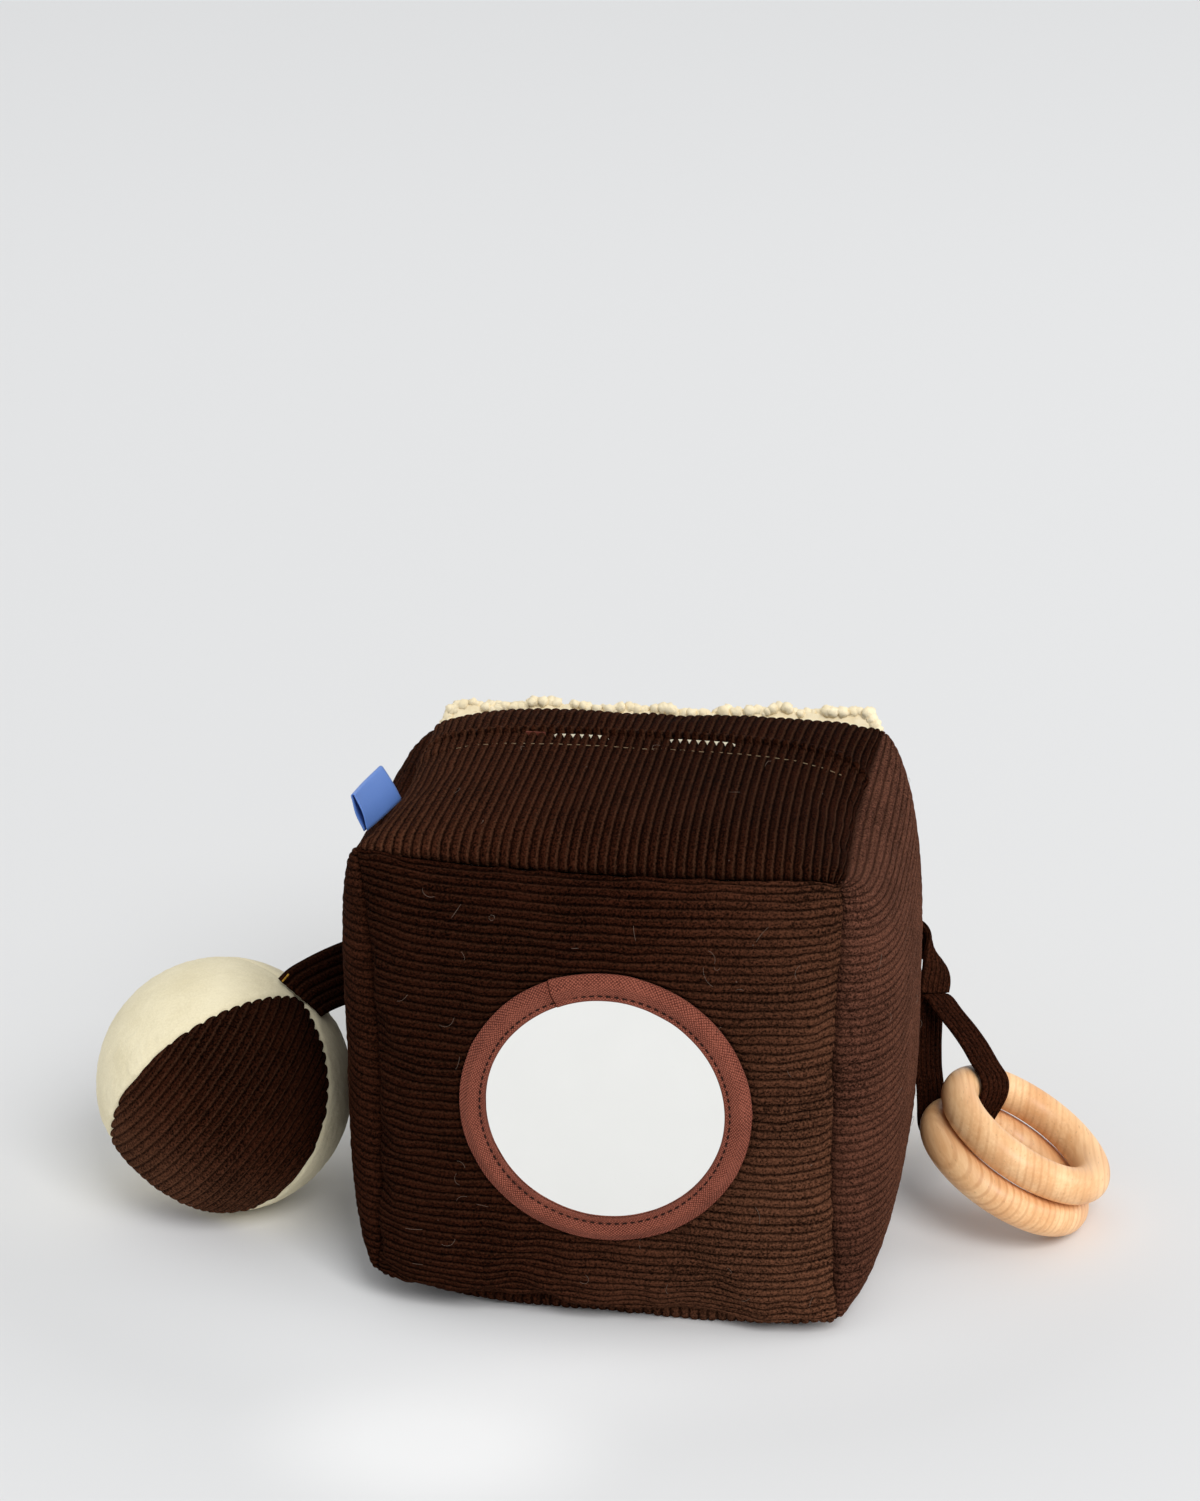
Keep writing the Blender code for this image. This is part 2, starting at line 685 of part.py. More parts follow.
def belt(circles):
    """Points of the belt that runs round circles in turn, counter-clockwise, each (x, y, radius)."""
    count = len(circles)
    leaving = []
    for i in range(count):
        x0, y0, r0 = circles[i]
        x1, y1, r1 = circles[(i + 1) % count]
        heading = math.atan2(y1 - y0, x1 - x0)
        distance = math.hypot(x1 - x0, y1 - y0)
        leaving.append(heading - math.pi / 2 + math.asin((r1 - r0) / distance))
    points = []
    for i, (x, y, radius) in enumerate(circles):
        start = leaving[i - 1]
        sweep = (leaving[i] - start) % (2 * math.pi)
        steps = max(2, math.ceil(sweep / LOOP_ARC_STEP))
        for k in range(steps + 1):
            angle = start + sweep * k / steps
            points.append((x + radius * math.cos(angle), y + radius * math.sin(angle)))
    return points


def make_rings(pieces, finishes):
    """The two rings, the strap loop round both and the sewn stem that carries the loop."""
    lower, upper = ring_centres()
    raised, across = ring_directions()
    outward = raised * math.cos(LOOP_ANGLE) + across * math.sin(LOOP_ANGLE)
    tangent = RING_AXIS.cross(outward)
    low_hold = lower + outward * RING_RADIUS
    high_hold = upper + outward * RING_RADIUS
    wrap = RING_SECTION / 2 + LOOP_CLEARANCE + STRAP_THICKNESS / 2
    rise = (high_hold - low_hold).dot(RING_AXIS)
    slip = (high_hold - low_hold).dot(outward)
    throat = (slip + LOOP_THROAT_OUT, rise + LOOP_THROAT_UP)
    circles = [(0, 0, wrap), (*throat, LOOP_THROAT_RADIUS), (slip, rise, wrap)]
    origin = low_hold + tangent * (high_hold - low_hold).dot(tangent) / 2
    path = [origin + outward * a + RING_AXIS * b for a, b in belt(circles)]
    throat_place = origin + outward * throat[0] + RING_AXIS * throat[1]

    root, leaving = strap_root(1, RING_STRAP_HEIGHT, RING_STRAP_SEAM_OFFSET)
    stem_pivot = add_pivot("ring_strap_pivot", root, pieces)
    away = outward * math.cos(LOOP_STEM_ANGLE) + RING_AXIS * math.sin(LOOP_STEM_ANGLE)
    reach = LOOP_THROAT_RADIUS + STRAP_THICKNESS / 2 + LOOP_STEM_GAP
    stem_end = throat_place + away * reach
    curve = [root, root + leaving * RING_STEM_OUT, stem_end + away * RING_STEM_RISE, stem_end]
    down = Vector((0, 0, -1))
    stations = strap_stations(curve, down, -tangent, STRAP_WIDTH, STRAP_WIDTH, STEM_STATIONS)
    stem = band("ring_strap_stem", stations, STEM_THICKNESS, False, finishes["corduroy"], pieces)
    hang_on(stem, stem_pivot)

    loop_pivot = add_pivot("ring_loop_pivot", throat_place, pieces, stem_pivot)
    loop = band("ring_strap_loop", [(p, tangent, STRAP_WIDTH) for p in path], STRAP_THICKNESS, True,
                finishes["corduroy"], pieces)
    hang_on(loop, loop_pivot)
    for name, centre, hold in (("ring_lower", lower, low_hold), ("ring_upper", upper, high_hold)):
        pivot = add_pivot(name + "_pivot", hold, pieces, loop_pivot)
        hang_on(make_ring(name, centre, finishes["beech"], pieces), pivot)


def main():
    """Build the whole block."""
    clear_scene()
    pieces = new_collection(COLLECTION_NAME)
    cutters = new_collection("cutters")
    finishes = {
        "corduroy": material("brown_corduroy", (0.028, 0.009, 0.005), 0.95),
        "sherpa": material("cream_sherpa", (0.78, 0.70, 0.55), 0.95),
        "velour": material("cream_velour", (0.75, 0.68, 0.50), 0.9),
        "lining": material("cream_lining", (0.78, 0.72, 0.58), 0.9),
        "binding": material("rust_twill", (0.19, 0.055, 0.038), 0.9),
        "mirror": material("mirror_film", (0.85, 0.85, 0.85), 0.08, 1.0),
        "label": material("blue_satin", (0.11, 0.19, 0.50), 0.45),
        "beech": material("beech_wood", (0.72, 0.45, 0.23), 0.55),
        "filling": material("white_filling", (0.85, 0.85, 0.82), 1.0),
    }
    make_block(pieces, cutters, finishes)
    make_mirror(pieces, finishes)
    make_label(pieces, finishes)
    make_ball_strap(pieces, finishes)
    make_rings(pieces, finishes)


main()
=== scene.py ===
# %% [markdown]
# This lesson dresses a soft fabric block for a baby: a stuffed corduroy cube with a mirror, a hemmed
# slit, a ribbon label, a ball on a strap and two beech rings in a strap loop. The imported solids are
# loaded first and say where everything sits. Units are metres, X runs right, Y back and Z up.

# %% Load the frame
import math

import bpy
import numpy as np
from mathutils import Matrix, Vector


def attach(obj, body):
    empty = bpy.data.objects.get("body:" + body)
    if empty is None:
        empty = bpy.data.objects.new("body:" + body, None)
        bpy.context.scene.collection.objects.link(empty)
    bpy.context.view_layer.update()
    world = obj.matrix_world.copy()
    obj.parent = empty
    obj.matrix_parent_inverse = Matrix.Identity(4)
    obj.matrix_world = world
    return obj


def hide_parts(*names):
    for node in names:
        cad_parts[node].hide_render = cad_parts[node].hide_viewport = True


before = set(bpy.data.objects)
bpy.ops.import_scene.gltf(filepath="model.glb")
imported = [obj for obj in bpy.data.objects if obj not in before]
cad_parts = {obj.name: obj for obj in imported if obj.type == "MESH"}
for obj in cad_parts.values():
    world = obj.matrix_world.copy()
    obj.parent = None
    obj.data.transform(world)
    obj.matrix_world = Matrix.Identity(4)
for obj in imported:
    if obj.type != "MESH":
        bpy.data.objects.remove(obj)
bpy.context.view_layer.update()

# %% [markdown]
# The camera comes first, because it decides what has to look right from near by. It stands a little
# to the right of the block's front and looks down on it through a long lens, so the cube's upright
# edges stay nearly parallel.

# %% Camera
CAMERA_PLACE = (0.1823, -1.3347, 0.7130)
CAMERA_TARGET = (-0.01125, 0.0, 0.1709)
LENS = 107.9
SENSOR = 36.0


def add_object(name, data):
    """Put data in the scene as an object."""
    piece = bpy.data.objects.new(name, data)
    bpy.context.scene.collection.objects.link(piece)
    return piece


def add_camera():
    """Place the camera and make it the scene's own."""
    data = bpy.data.cameras.new("camera")
    data.lens = LENS
    data.sensor_width = SENSOR
    data.sensor_fit = "AUTO"
    data.clip_end = 50
    camera = add_object("camera", data)
    camera.location = CAMERA_PLACE
    look = Vector(CAMERA_TARGET) - Vector(CAMERA_PLACE)
    camera.rotation_euler = look.to_track_quat("-Z", "Y").to_euler()
    bpy.context.scene.camera = camera


add_camera()

# %% [markdown]
# Every operator acts on what is selected, so a clean selection comes before each new piece. These
# helpers are used all through the lesson: one clears the selection, one makes a grid whose points can
# be moved to any place, and one gives a smooth, repeatable random value for creases and pile.

# %% Helpers
def select_only(piece=None):
    """Leave nothing selected, or one piece that is also active."""
    for other in bpy.context.selected_objects:
        other.select_set(False)
    bpy.context.view_layer.objects.active = piece
    if piece is not None:
        piece.select_set(True)


def apply_modifier(piece, kind, **settings):
    """Add a modifier, set it and apply it."""
    modifier = piece.modifiers.new(kind.lower(), kind)
    for name, value in settings.items():
        setattr(modifier, name, value)
    select_only(piece)
    bpy.ops.object.modifier_apply(modifier=modifier.name)


def edit(piece):
    """Open a piece in edit mode with everything selected."""
    select_only(piece)
    bpy.ops.object.mode_set(mode="EDIT")
    bpy.ops.mesh.select_all(action="SELECT")


def leave_edit():
    """Close edit mode."""
    bpy.ops.object.mode_set(mode="OBJECT")


def value_noise(x, y, seed):
    """Smooth noise from -1 to 1 over two coordinates, whose lattice step is 1."""
    random = np.random.default_rng(seed).uniform(-1, 1, (64, 64))
    left = np.floor(x).astype(int)
    low = np.floor(y).astype(int)
    a = x - left
    b = y - low
    a = a * a * (3 - 2 * a)
    b = b * b * (3 - 2 * b)
    left %= 64
    low %= 64
    right = (left + 1) % 64
    high = (low + 1) % 64
    below = random[left, low] * (1 - a) + random[right, low] * a
    above = random[left, high] * (1 - a) + random[right, high] * a
    return below * (1 - b) + above * b


def smooth_share(value, start, end):
    """Ease from 0 at start to 1 at end."""
    share = np.clip((value - start) / (end - start), 0, 1)
    return share * share * (3 - 2 * share)


def unit_vector(vector):
    """The same direction with a length of 1."""
    return vector / np.linalg.norm(vector)


def unit_rows(vectors):
    """The same directions with a length of 1, for an array of vectors."""
    length = np.linalg.norm(vectors, axis=-1, keepdims=True)
    return vectors / np.maximum(length, 1e-12)


def grid_normals(points):
    """Unit normals of a grid of points, from its rows and columns."""
    return unit_rows(np.cross(np.gradient(points, axis=1), np.gradient(points, axis=0)))


def length_up_to(path):
    """How long a path of points is up to each of them."""
    return np.concatenate(([0], np.cumsum(np.linalg.norm(np.diff(path, axis=0), axis=1))))


def read_points(mesh):
    """A mesh's points as an array of places."""
    places = np.empty(len(mesh.vertices) * 3)
    mesh.vertices.foreach_get("co", places)
    return places.reshape(-1, 3)


def move_points(mesh, places):
    """Move a mesh's points to an array of places."""
    mesh.vertices.foreach_set("co", places.ravel())
    mesh.update()


def add_primitive(add, name, **settings):
    """Add one of Blender's primitives under a name."""
    select_only()
    add(**settings)
    piece = bpy.context.object
    piece.name = name
    return piece


def edit_top(piece):
    """Open a piece in edit mode with the faces selected that look up."""
    edit(piece)
    bpy.ops.mesh.select_all(action="DESELECT")
    leave_edit()
    for face in piece.data.polygons:
        face.select = face.normal.z > 0.5
    bpy.ops.object.mode_set(mode="EDIT")


def make_box(name, low, high):
    """A plain box between two corners, as a start for shaping."""
    low = Vector(low)
    high = Vector(high)
    piece = add_primitive(bpy.ops.mesh.primitive_cube_add, name, size=1, location=(low + high) / 2,
                          scale=high - low)
    bpy.ops.object.transform_apply(location=True, rotation=True, scale=True)
    return piece


def grid_piece(name, points, across, along, closed=False):
    """Make a grid primitive and move its points to an array of rows and columns.

    The UV map holds the cloth's own coordinates: along the wale in U, across it in V.
    """
    rows, columns = points.shape[:2]
    piece = add_primitive(bpy.ops.mesh.primitive_grid_add, name, x_subdivisions=columns - 1,
                          y_subdivisions=rows - 1, size=2)
    mesh = piece.data
    mesh.name = name
    flat = read_points(mesh)
    column = np.rint((flat[:, 0] + 1) / 2 * (columns - 1)).astype(int)
    row = np.rint((flat[:, 1] + 1) / 2 * (rows - 1)).astype(int)
    move_points(mesh, points[row, column])
    corners = np.empty(len(mesh.loops), dtype=int)
    mesh.loops.foreach_get("vertex_index", corners)
    cloth = np.stack((along[row, column], across[row, column]), axis=-1)
    mesh.uv_layers[0].data.foreach_set("uv", cloth[corners].ravel())
    mesh.uv_layers[0].name = "cloth"
    mesh.update()
    if closed:
        edit(piece)
        bpy.ops.mesh.remove_doubles(threshold=0.000002)
        leave_edit()
    mesh.shade_smooth()
    return piece


def face_outward(piece):
    """Turn a closed piece's faces outward."""
    edit(piece)
    bpy.ops.mesh.normals_make_consistent(inside=False)
    leave_edit()


def dress(piece, body, finish, material_slot, *nodes):
    """Give a piece its material, its body and the solids that it stands for."""
    piece.data.materials.clear()
    piece.data.materials.append(finish)
    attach(piece, body)
    if nodes:
        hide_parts(*nodes)
    print(f"{piece.name}: {len(piece.data.polygons)} faces")


# %% [markdown]
# Corduroy is a cloth with raised ribs of cut pile, called wales. The geometry carries the ribs, and
# this node group adds what is finer: painted shade in the grooves, a painted highlight on one flank of
# each rib, painted light, shade and sheen over each piece, brushed pile along each rib and a little lint.
# It reads the cloth's own UV map, where V counts wales, so the grooves always fall between the ribs.

# %% Node helpers
def link_place(tree):
    """The piece's own coordinates."""
    return tree.nodes.new("ShaderNodeTexCoord").outputs["Object"]


def link_cloth(tree):
    """The cloth's UV map."""
    node = tree.nodes.new("ShaderNodeUVMap")
    node.uv_map = "cloth"
    return node.outputs["UV"]


def link_math(tree, operation, first, second=None, third=None):
    """Add a Math node and connect or set its inputs."""
    node = tree.nodes.new("ShaderNodeMath")
    node.operation = operation
    for socket, value in zip(node.inputs, (first, second, third)):
        if isinstance(value, (int, float)):
            socket.default_value = value
        elif value is not None:
            tree.links.new(value, socket)
    return node.outputs[0]


def set_inputs(node, settings):
    """Set a node's inputs by their labels."""
    for label, value in settings.items():
        node.inputs[label].default_value = value


def link_noise(tree, vector, scale, detail=2.0, roughness=0.5):
    """Add a noise texture and return its value."""
    node = tree.nodes.new("ShaderNodeTexNoise")
    set_inputs(node, {"Scale": scale, "Detail": detail, "Roughness": roughness})
    tree.links.new(vector, node.inputs["Vector"])
    return node.outputs["Fac"]


def link_vector(tree, operation, first, second=None, output="Value", socket=1):
    """Add a Vector Math node and connect its inputs."""
    node = tree.nodes.new("ShaderNodeVectorMath")
    node.operation = operation
    tree.links.new(first, node.inputs[0])
    if second is not None:
        tree.links.new(second, node.inputs[socket])
    return node.outputs[output]


def link_wave(tree, vector, direction, scale, distortion, detail, detail_scale):
    """Add a wave texture of bands and return its value."""
    node = tree.nodes.new("ShaderNodeTexWave")
    node.bands_direction = direction
    set_inputs(node, {"Scale": scale, "Distortion": distortion, "Detail": detail,
                      "Detail Scale": detail_scale})
    tree.links.new(vector, node.inputs["Vector"])
    return node.outputs["Fac"]


def link_mapping(tree, vector, scale=(1, 1, 1), rotation=(0, 0, 0), location=(0, 0, 0)):
    """Stretch, turn and shift a pattern."""
    node = tree.nodes.new("ShaderNodeMapping")
    set_inputs(node, {"Scale": scale, "Rotation": rotation, "Location": location})
    tree.links.new(vector, node.inputs["Vector"])
    return node.outputs["Vector"]


def link_range(tree, value, low, high, to_low=0.0, to_high=1.0):
    """Ease a value from one range to another."""
    node = tree.nodes.new("ShaderNodeMapRange")
    node.interpolation_type = "SMOOTHSTEP"
    set_inputs(node, {"From Min": low, "From Max": high, "To Min": to_low, "To Max": to_high})
    tree.links.new(value, node.inputs["Value"])
    return node.outputs["Result"]


def link_mix(tree, share, first, second):
    """Mix two colours."""
    node = tree.nodes.new("ShaderNodeMix")
    node.data_type = "RGBA"
    for socket, value in ((node.inputs[0], share), (node.inputs[6], first), (node.inputs[7], second)):
        if isinstance(value, (int, float)):
            socket.default_value = value
        elif isinstance(value, tuple):
            socket.default_value = (*value, 1.0)
        else:
            tree.links.new(value, socket)
    return node.outputs[2]


def new_group(name, inputs, outputs):
    """Start a node group with named sockets and return it with its two ends."""
    tree = bpy.data.node_groups.new(name, "ShaderNodeTree")
    for label, kind, value in inputs:
        socket = tree.interface.new_socket(label, in_out="INPUT", socket_type=kind)
        if value is not None:
            socket.default_value = value
    for label, kind in outputs:
        tree.interface.new_socket(label, in_out="OUTPUT", socket_type=kind)
    return tree, tree.nodes.new("NodeGroupInput"), tree.nodes.new("NodeGroupOutput")


def new_material(name, roughness, specular=0.5, sheen=0.0, sheen_roughness=0.5, sheen_tint=(1, 1, 1)):
    """Start a material and return it with its tree and shader."""
    finish = bpy.data.materials.new(name)
    finish.use_nodes = True
    tree = finish.node_tree
    shader = tree.nodes["Principled BSDF"]
    set_inputs(shader, {"Roughness": roughness, "Specular IOR Level": specular, "Sheen Weight": sheen,
                        "Sheen Roughness": sheen_roughness, "Sheen Tint": (*sheen_tint, 1.0)})
    return finish, tree, shader


def link_bump(tree, shader, height, distance, strength=1.0):
    """Let a height drive the shader's normal."""
    node = tree.nodes.new("ShaderNodeBump")
    set_inputs(node, {"Distance": distance, "Strength": strength})
    tree.links.new(height, node.inputs["Height"])
    tree.links.new(node.outputs["Normal"], shader.inputs["Normal"])


# %% Corduroy
COLOUR = "NodeSocketColor"
VALUE = "NodeSocketFloat"
VECTOR = "NodeSocketVector"
# Limits of the painted light and shade on corduroy.
LOWEST_PAINTED_LIGHT = 0.72
HIGHEST_PAINTED_LIGHT = 2.4
# Colour of the painted highlight on one flank of each rib.
LIT_PILE = (0.088, 0.048, 0.026)


def corduroy_group():
    """Colour and pile height of corduroy, from the cloth's UV and the object's own coordinates.

    The colour is painted lighter along a direction, per metre, and by a level, both given for each piece:
    this is painted light and shade, for how the light falls on that piece. Where it is painted lighter,
    the colour turns towards a second, paler and less rich colour, a painted sheen. The grooves are
    darkened by painted shade, and one flank of each rib gets a painted highlight.
    """
    tree, start, end = new_group(
        "corduroy_pile",
        [("Cloth", VECTOR, None), ("Place", VECTOR, None), ("Rib", COLOUR, (0.05, 0.02, 0.01, 1)),
         ("Painted Sheen", COLOUR, (0.05, 0.02, 0.01, 1)), ("Groove Shade", VALUE, 0.5), ("Lit Lines", VALUE, 0.5),
         ("Painted Light", VECTOR, (0, 0, 0)), ("Bias", VALUE, 1.0), ("Lint", VALUE, 1.0)],
        [("Colour", COLOUR), ("Height", VALUE)])
    split = tree.nodes.new("ShaderNodeSeparateXYZ")
    tree.links.new(start.outputs["Cloth"], split.inputs[0])
    pile = link_noise(tree, start.outputs["Place"], 1350.0, 3.0, 0.75)
    ragged = link_noise(tree, start.outputs["Place"], 900.0, 2.0, 0.6)
    part = link_math(tree, "FRACT", link_math(tree, "MULTIPLY_ADD", ragged, 0.32, split.outputs["Y"]))
    part = link_math(tree, "FRACT", link_math(tree, "ADD", part, 0.84))
    off = link_math(tree, "ABSOLUTE", link_math(tree, "SUBTRACT", part, 0.5))
    groove = link_range(tree, off, 0.26, 0.5)
    # Painted highlight: one flank of each rib is made lighter, as where the light rakes across it.
    lit = link_math(tree, "SUBTRACT", link_range(tree, part, 0.58, 0.76), link_range(tree, part, 0.84, 0.95))
    brushed = link_noise(tree, link_mapping(tree, start.outputs["Cloth"], (1.7, 2.6, 1)), 1.6, 3.0, 0.7)
    worn = link_noise(tree, start.outputs["Place"], 42.0, 2.0, 0.5)
    streak = link_noise(tree, link_mapping(tree, start.outputs["Cloth"], (0.05, 0.85, 1)), 1.0, 1.0, 0.5)
    shade = link_math(tree, "MULTIPLY_ADD", brushed, 1.1, link_math(tree, "MULTIPLY", pile, 3.0))
    shade = link_math(tree, "MULTIPLY_ADD", worn, 0.5, shade)
    shade = link_math(tree, "MULTIPLY_ADD", streak, 0.35, shade)
    shade = link_range(tree, shade, 1.92, 3.04, 0.12, 2.10)
    lit = link_math(tree, "MULTIPLY", link_math(tree, "MULTIPLY", lit, start.outputs["Lit Lines"]), brushed)
    shade = link_math(tree, "MULTIPLY_ADD", lit, 1.2, shade)
    # Painted shade: the grooves are darkened.
    dark = link_math(tree, "MULTIPLY", groove, start.outputs["Groove Shade"])
    shade = link_math(tree, "MULTIPLY", shade, link_math(tree, "SUBTRACT", 1.0, dark))
    # Painted light and shade: lighter or darker along a direction and by a level given for each piece, and
    # towards the paler painted sheen colour where it is lighter.
    lean = link_vector(tree, "DOT_PRODUCT", start.outputs["Place"], start.outputs["Painted Light"])
    painted_level = link_math(tree, "ADD", lean, start.outputs["Bias"])
    painted_level = link_math(tree, "MINIMUM", link_math(tree, "MAXIMUM", painted_level, LOWEST_PAINTED_LIGHT), HIGHEST_PAINTED_LIGHT)
    colour = link_mix(tree, link_range(tree, painted_level, 0.9, 2.0), start.outputs["Rib"], start.outputs["Painted Sheen"])
    bright = link_math(tree, "MULTIPLY", shade, painted_level)
    colour = link_vector(tree, "SCALE", colour, bright, "Vector", "Scale")
    # The painted highlight also turns the lit flank's colour towards a pale brown.
    lit_share = link_math(tree, "MULTIPLY", link_math(tree, "MULTIPLY", lit, pile), 0.9)
    colour = link_mix(tree, lit_share, colour, LIT_PILE)
    speck = tree.nodes.new("ShaderNodeTexVoronoi")
    speck.inputs["Scale"].default_value = 210.0
    tree.links.new(start.outputs["Place"], speck.inputs["Vector"])
    small = link_range(tree, speck.outputs["Distance"], 0.05, 0.075, 1.0, 0.0)
    chosen = tree.nodes.new("ShaderNodeSeparateColor")
    tree.links.new(speck.outputs["Color"], chosen.inputs[0])
    rare = link_math(tree, "GREATER_THAN", chosen.outputs[0], 0.94)
    lint = link_math(tree, "MULTIPLY", link_math(tree, "MULTIPLY", small, rare), start.outputs["Lint"])
    colour = link_mix(tree, lint, colour, (0.20, 0.15, 0.12))
    tree.links.new(colour, end.inputs["Colour"])
    height = link_math(tree, "MULTIPLY_ADD", groove, -0.6, pile)
    tree.links.new(height, end.inputs["Height"])
    return tree


CORDUROY_GROUP = corduroy_group()


def corduroy(name, tones, groove, edge, painted_light=(0, 0, 0), painted_light_level=1.0, sheen=0.0):
    """One brown corduroy, with painted light, shade and sheen for how the light falls on the piece."""
    finish, tree, shader = new_material(name, 0.95, 0.01, sheen, 0.35, (1.0, 0.45, 0.28))
    pile = tree.nodes.new("ShaderNodeGroup")
    pile.node_tree = CORDUROY_GROUP
    tree.links.new(link_cloth(tree), pile.inputs["Cloth"])
    tree.links.new(link_place(tree), pile.inputs["Place"])
    set_inputs(pile, {"Rib": (*tones[0], 1.0), "Painted Sheen": (*tones[1], 1.0), "Groove Shade": groove, "Lit Lines": edge,
                      "Painted Light": painted_light, "Bias": painted_light_level, "Lint": LINT_SHARE})
    tree.links.new(pile.outputs["Colour"], shader.inputs["Base Color"])
    link_bump(tree, shader, pile.outputs["Height"], 0.0005, 1.0)
    return finish


# Each piece has its own copy of the cloth with painted light and shade, for how the light falls on it: the
# front and bottom are painted lighter to the right and towards the bottom, the top lighter to the left, the
# sides lighter upwards, the ball darker towards its top and right as a painted shadow of the block, and the
# straps lighter to the right. The second colour of each pair is a paler painted sheen, and the right side's
# pair is painted lighter as the side that the light falls on.
BROWN = ((0.0225, 0.0064, 0.0030), (0.034, 0.0135, 0.0072))
LIT_SIDE_BROWN = ((0.046, 0.0170, 0.0100), (0.056, 0.0225, 0.0145))
LINT_SHARE = 0.4
CORDUROY_FRONT = corduroy("corduroy_front", BROWN, 0.65, 0.42, (11.5, 0, -4.0), 1.46)
CORDUROY_TOP = corduroy("corduroy_top", BROWN, 0.6, 0.9, (-7.0, 0, 0), 0.84)
CORDUROY_LEFT = corduroy("corduroy_left", BROWN, 0.55, 0.3, (0, 0, 1.5), 0.95)
CORDUROY_SIDE = corduroy("corduroy_side", LIT_SIDE_BROWN, 0.5, 0.3, (0, 0, 2.2), 1.14, 0.05)
CORDUROY_BALL = corduroy("corduroy_ball", BROWN, 0.5, 0.8, (-14.0, 0, -24.0), 0.35)
CORDUROY_STRAP = corduroy("corduroy_strap", BROWN, 0.5, 0.3, (2.5, 0, 0), 0.8)
print("corduroy: 6 tones of one cloth")

# %% [markdown]
# The other finishes: cream velour on the ball, curly sherpa on the back, rust twill round the mirror,
# blue satin for the label, beech for the rings, thread for the stitches and a mirror film. Each is
# built from noise and waves at the size that the real cloth or wood shows.

# %% Cloths
def nap_material(name, light, dark, fine, clump, bump, sheen):
    """A napped cloth: clumps of pile over a finer fuzz."""
    finish, tree, shader = new_material(name, 0.95, 0.1, sheen, 0.6)
    place = link_place(tree)
    fuzz = link_noise(tree, place, fine, 3.0, 0.65)
    clumps = link_noise(tree, place, clump, 2.0, 0.5)
    share = link_math(tree, "MULTIPLY_ADD", fuzz, 0.6, link_math(tree, "MULTIPLY", clumps, 0.6))
    share = link_range(tree, share, 0.35, 0.8)
    tree.links.new(link_mix(tree, share, dark, light), shader.inputs["Base Color"])
    link_bump(tree, shader, fuzz, bump, 0.8)
    return finish


VELOUR = nap_material("cream_velour", (0.90, 0.81, 0.57), (0.78, 0.69, 0.46), 1400.0, 70.0, 0.0002, 0.1)
SHERPA = nap_material("cream_sherpa", (0.94, 0.82, 0.58), (0.88, 0.74, 0.48), 1100.0, 160.0, 0.0003, 0.1)
LINING = nap_material("cream_lining", (0.80, 0.74, 0.58), (0.62, 0.55, 0.38), 1800.0, 300.0, 0.0002, 0.1)
FILLING = nap_material("white_filling", (0.85, 0.85, 0.82), (0.7, 0.7, 0.67), 700.0, 90.0, 0.0008, 0.1)


def twill_material():
    """Rust twill: fine slanting ribs, with some threads lighter than others."""
    finish, tree, shader = new_material("rust_twill", 0.9, 0.08, 0.03, 0.5, (1.0, 0.7, 0.62))
    cloth = link_cloth(tree)
    ribs = []
    for lean in (1, -1):
        ribs.append(link_wave(tree, link_mapping(tree, cloth, (lean, 1, 1)), "DIAGONAL", 0.36, 1.2, 2.0, 2.0))
    woven = link_math(tree, "MULTIPLY", *ribs)
    thread = link_noise(tree, cloth, 0.95, 3.0, 0.75)
    worn = link_noise(tree, link_place(tree), 110.0, 2.0)
    share = link_math(tree, "MULTIPLY_ADD", woven, 0.85, link_math(tree, "MULTIPLY", thread, 1.3))
    share = link_math(tree, "MULTIPLY_ADD", worn, 0.30, share)
    colour = link_mix(tree, link_range(tree, share, 0.60, 1.42), (0.080, 0.018, 0.011), (0.405, 0.124, 0.079))
    tree.links.new(colour, shader.inputs["Base Color"])
    link_bump(tree, shader, share, 0.0004, 0.8)
    return finish


def satin_material():
    """Blue satin ribbon: fine threads across it, with a soft gloss."""
    finish, tree, shader = new_material("blue_satin", 0.42, 0.5, 0.1, 0.4, (0.7, 0.8, 1.0))
    cloth = link_cloth(tree)
    thread = link_noise(tree, link_mapping(tree, cloth, (2.0, 40.0, 1)), 1.5, 3.0, 0.7)
    colour = link_mix(tree, thread, (0.060, 0.145, 0.45), (0.135, 0.27, 0.66))
    tree.links.new(colour, shader.inputs["Base Color"])
    tree.links.new(link_range(tree, thread, 0.2, 0.8, 0.36, 0.5), shader.inputs["Roughness"])
    link_bump(tree, shader, thread, 0.0001, 0.5)
    return finish


def thread_material(name, colour, dark):
    """Sewing thread, twisted and a little uneven."""
    finish, tree, shader = new_material(name, 0.85, 0.1, 0.02)
    twist = link_noise(tree, link_place(tree), 3500.0, 2.0)
    tree.links.new(link_mix(tree, twist, dark, colour), shader.inputs["Base Color"])
    return finish


TWILL = twill_material()
SATIN = satin_material()
CREAM_THREAD = thread_material("cream_thread", (0.36, 0.26, 0.16), (0.16, 0.11, 0.06))
DARK_THREAD = thread_material("dark_thread", (0.035, 0.012, 0.008), (0.012, 0.004, 0.003))
MUSTARD_THREAD = thread_material("mustard_thread", (0.62, 0.34, 0.05), (0.36, 0.18, 0.02))
LINT_FIBRE = thread_material("lint_fibre", (0.24, 0.18, 0.14), (0.13, 0.09, 0.07))

# %% Mirror film and beech
def mirror_material():
    """A thin mirror film with a faint haze."""
    finish, tree, shader = new_material("mirror_film", 0.06)
    shader.inputs["Metallic"].default_value = 1.0
    haze = link_noise(tree, link_place(tree), 60.0, 3.0)
    colour = link_mix(tree, haze, (0.93, 0.93, 0.915), (0.97, 0.97, 0.955))
    tree.links.new(colour, shader.inputs["Base Color"])
    tree.links.new(link_range(tree, haze, 0.3, 0.7, 0.04, 0.11), shader.inputs["Roughness"])
    return finish


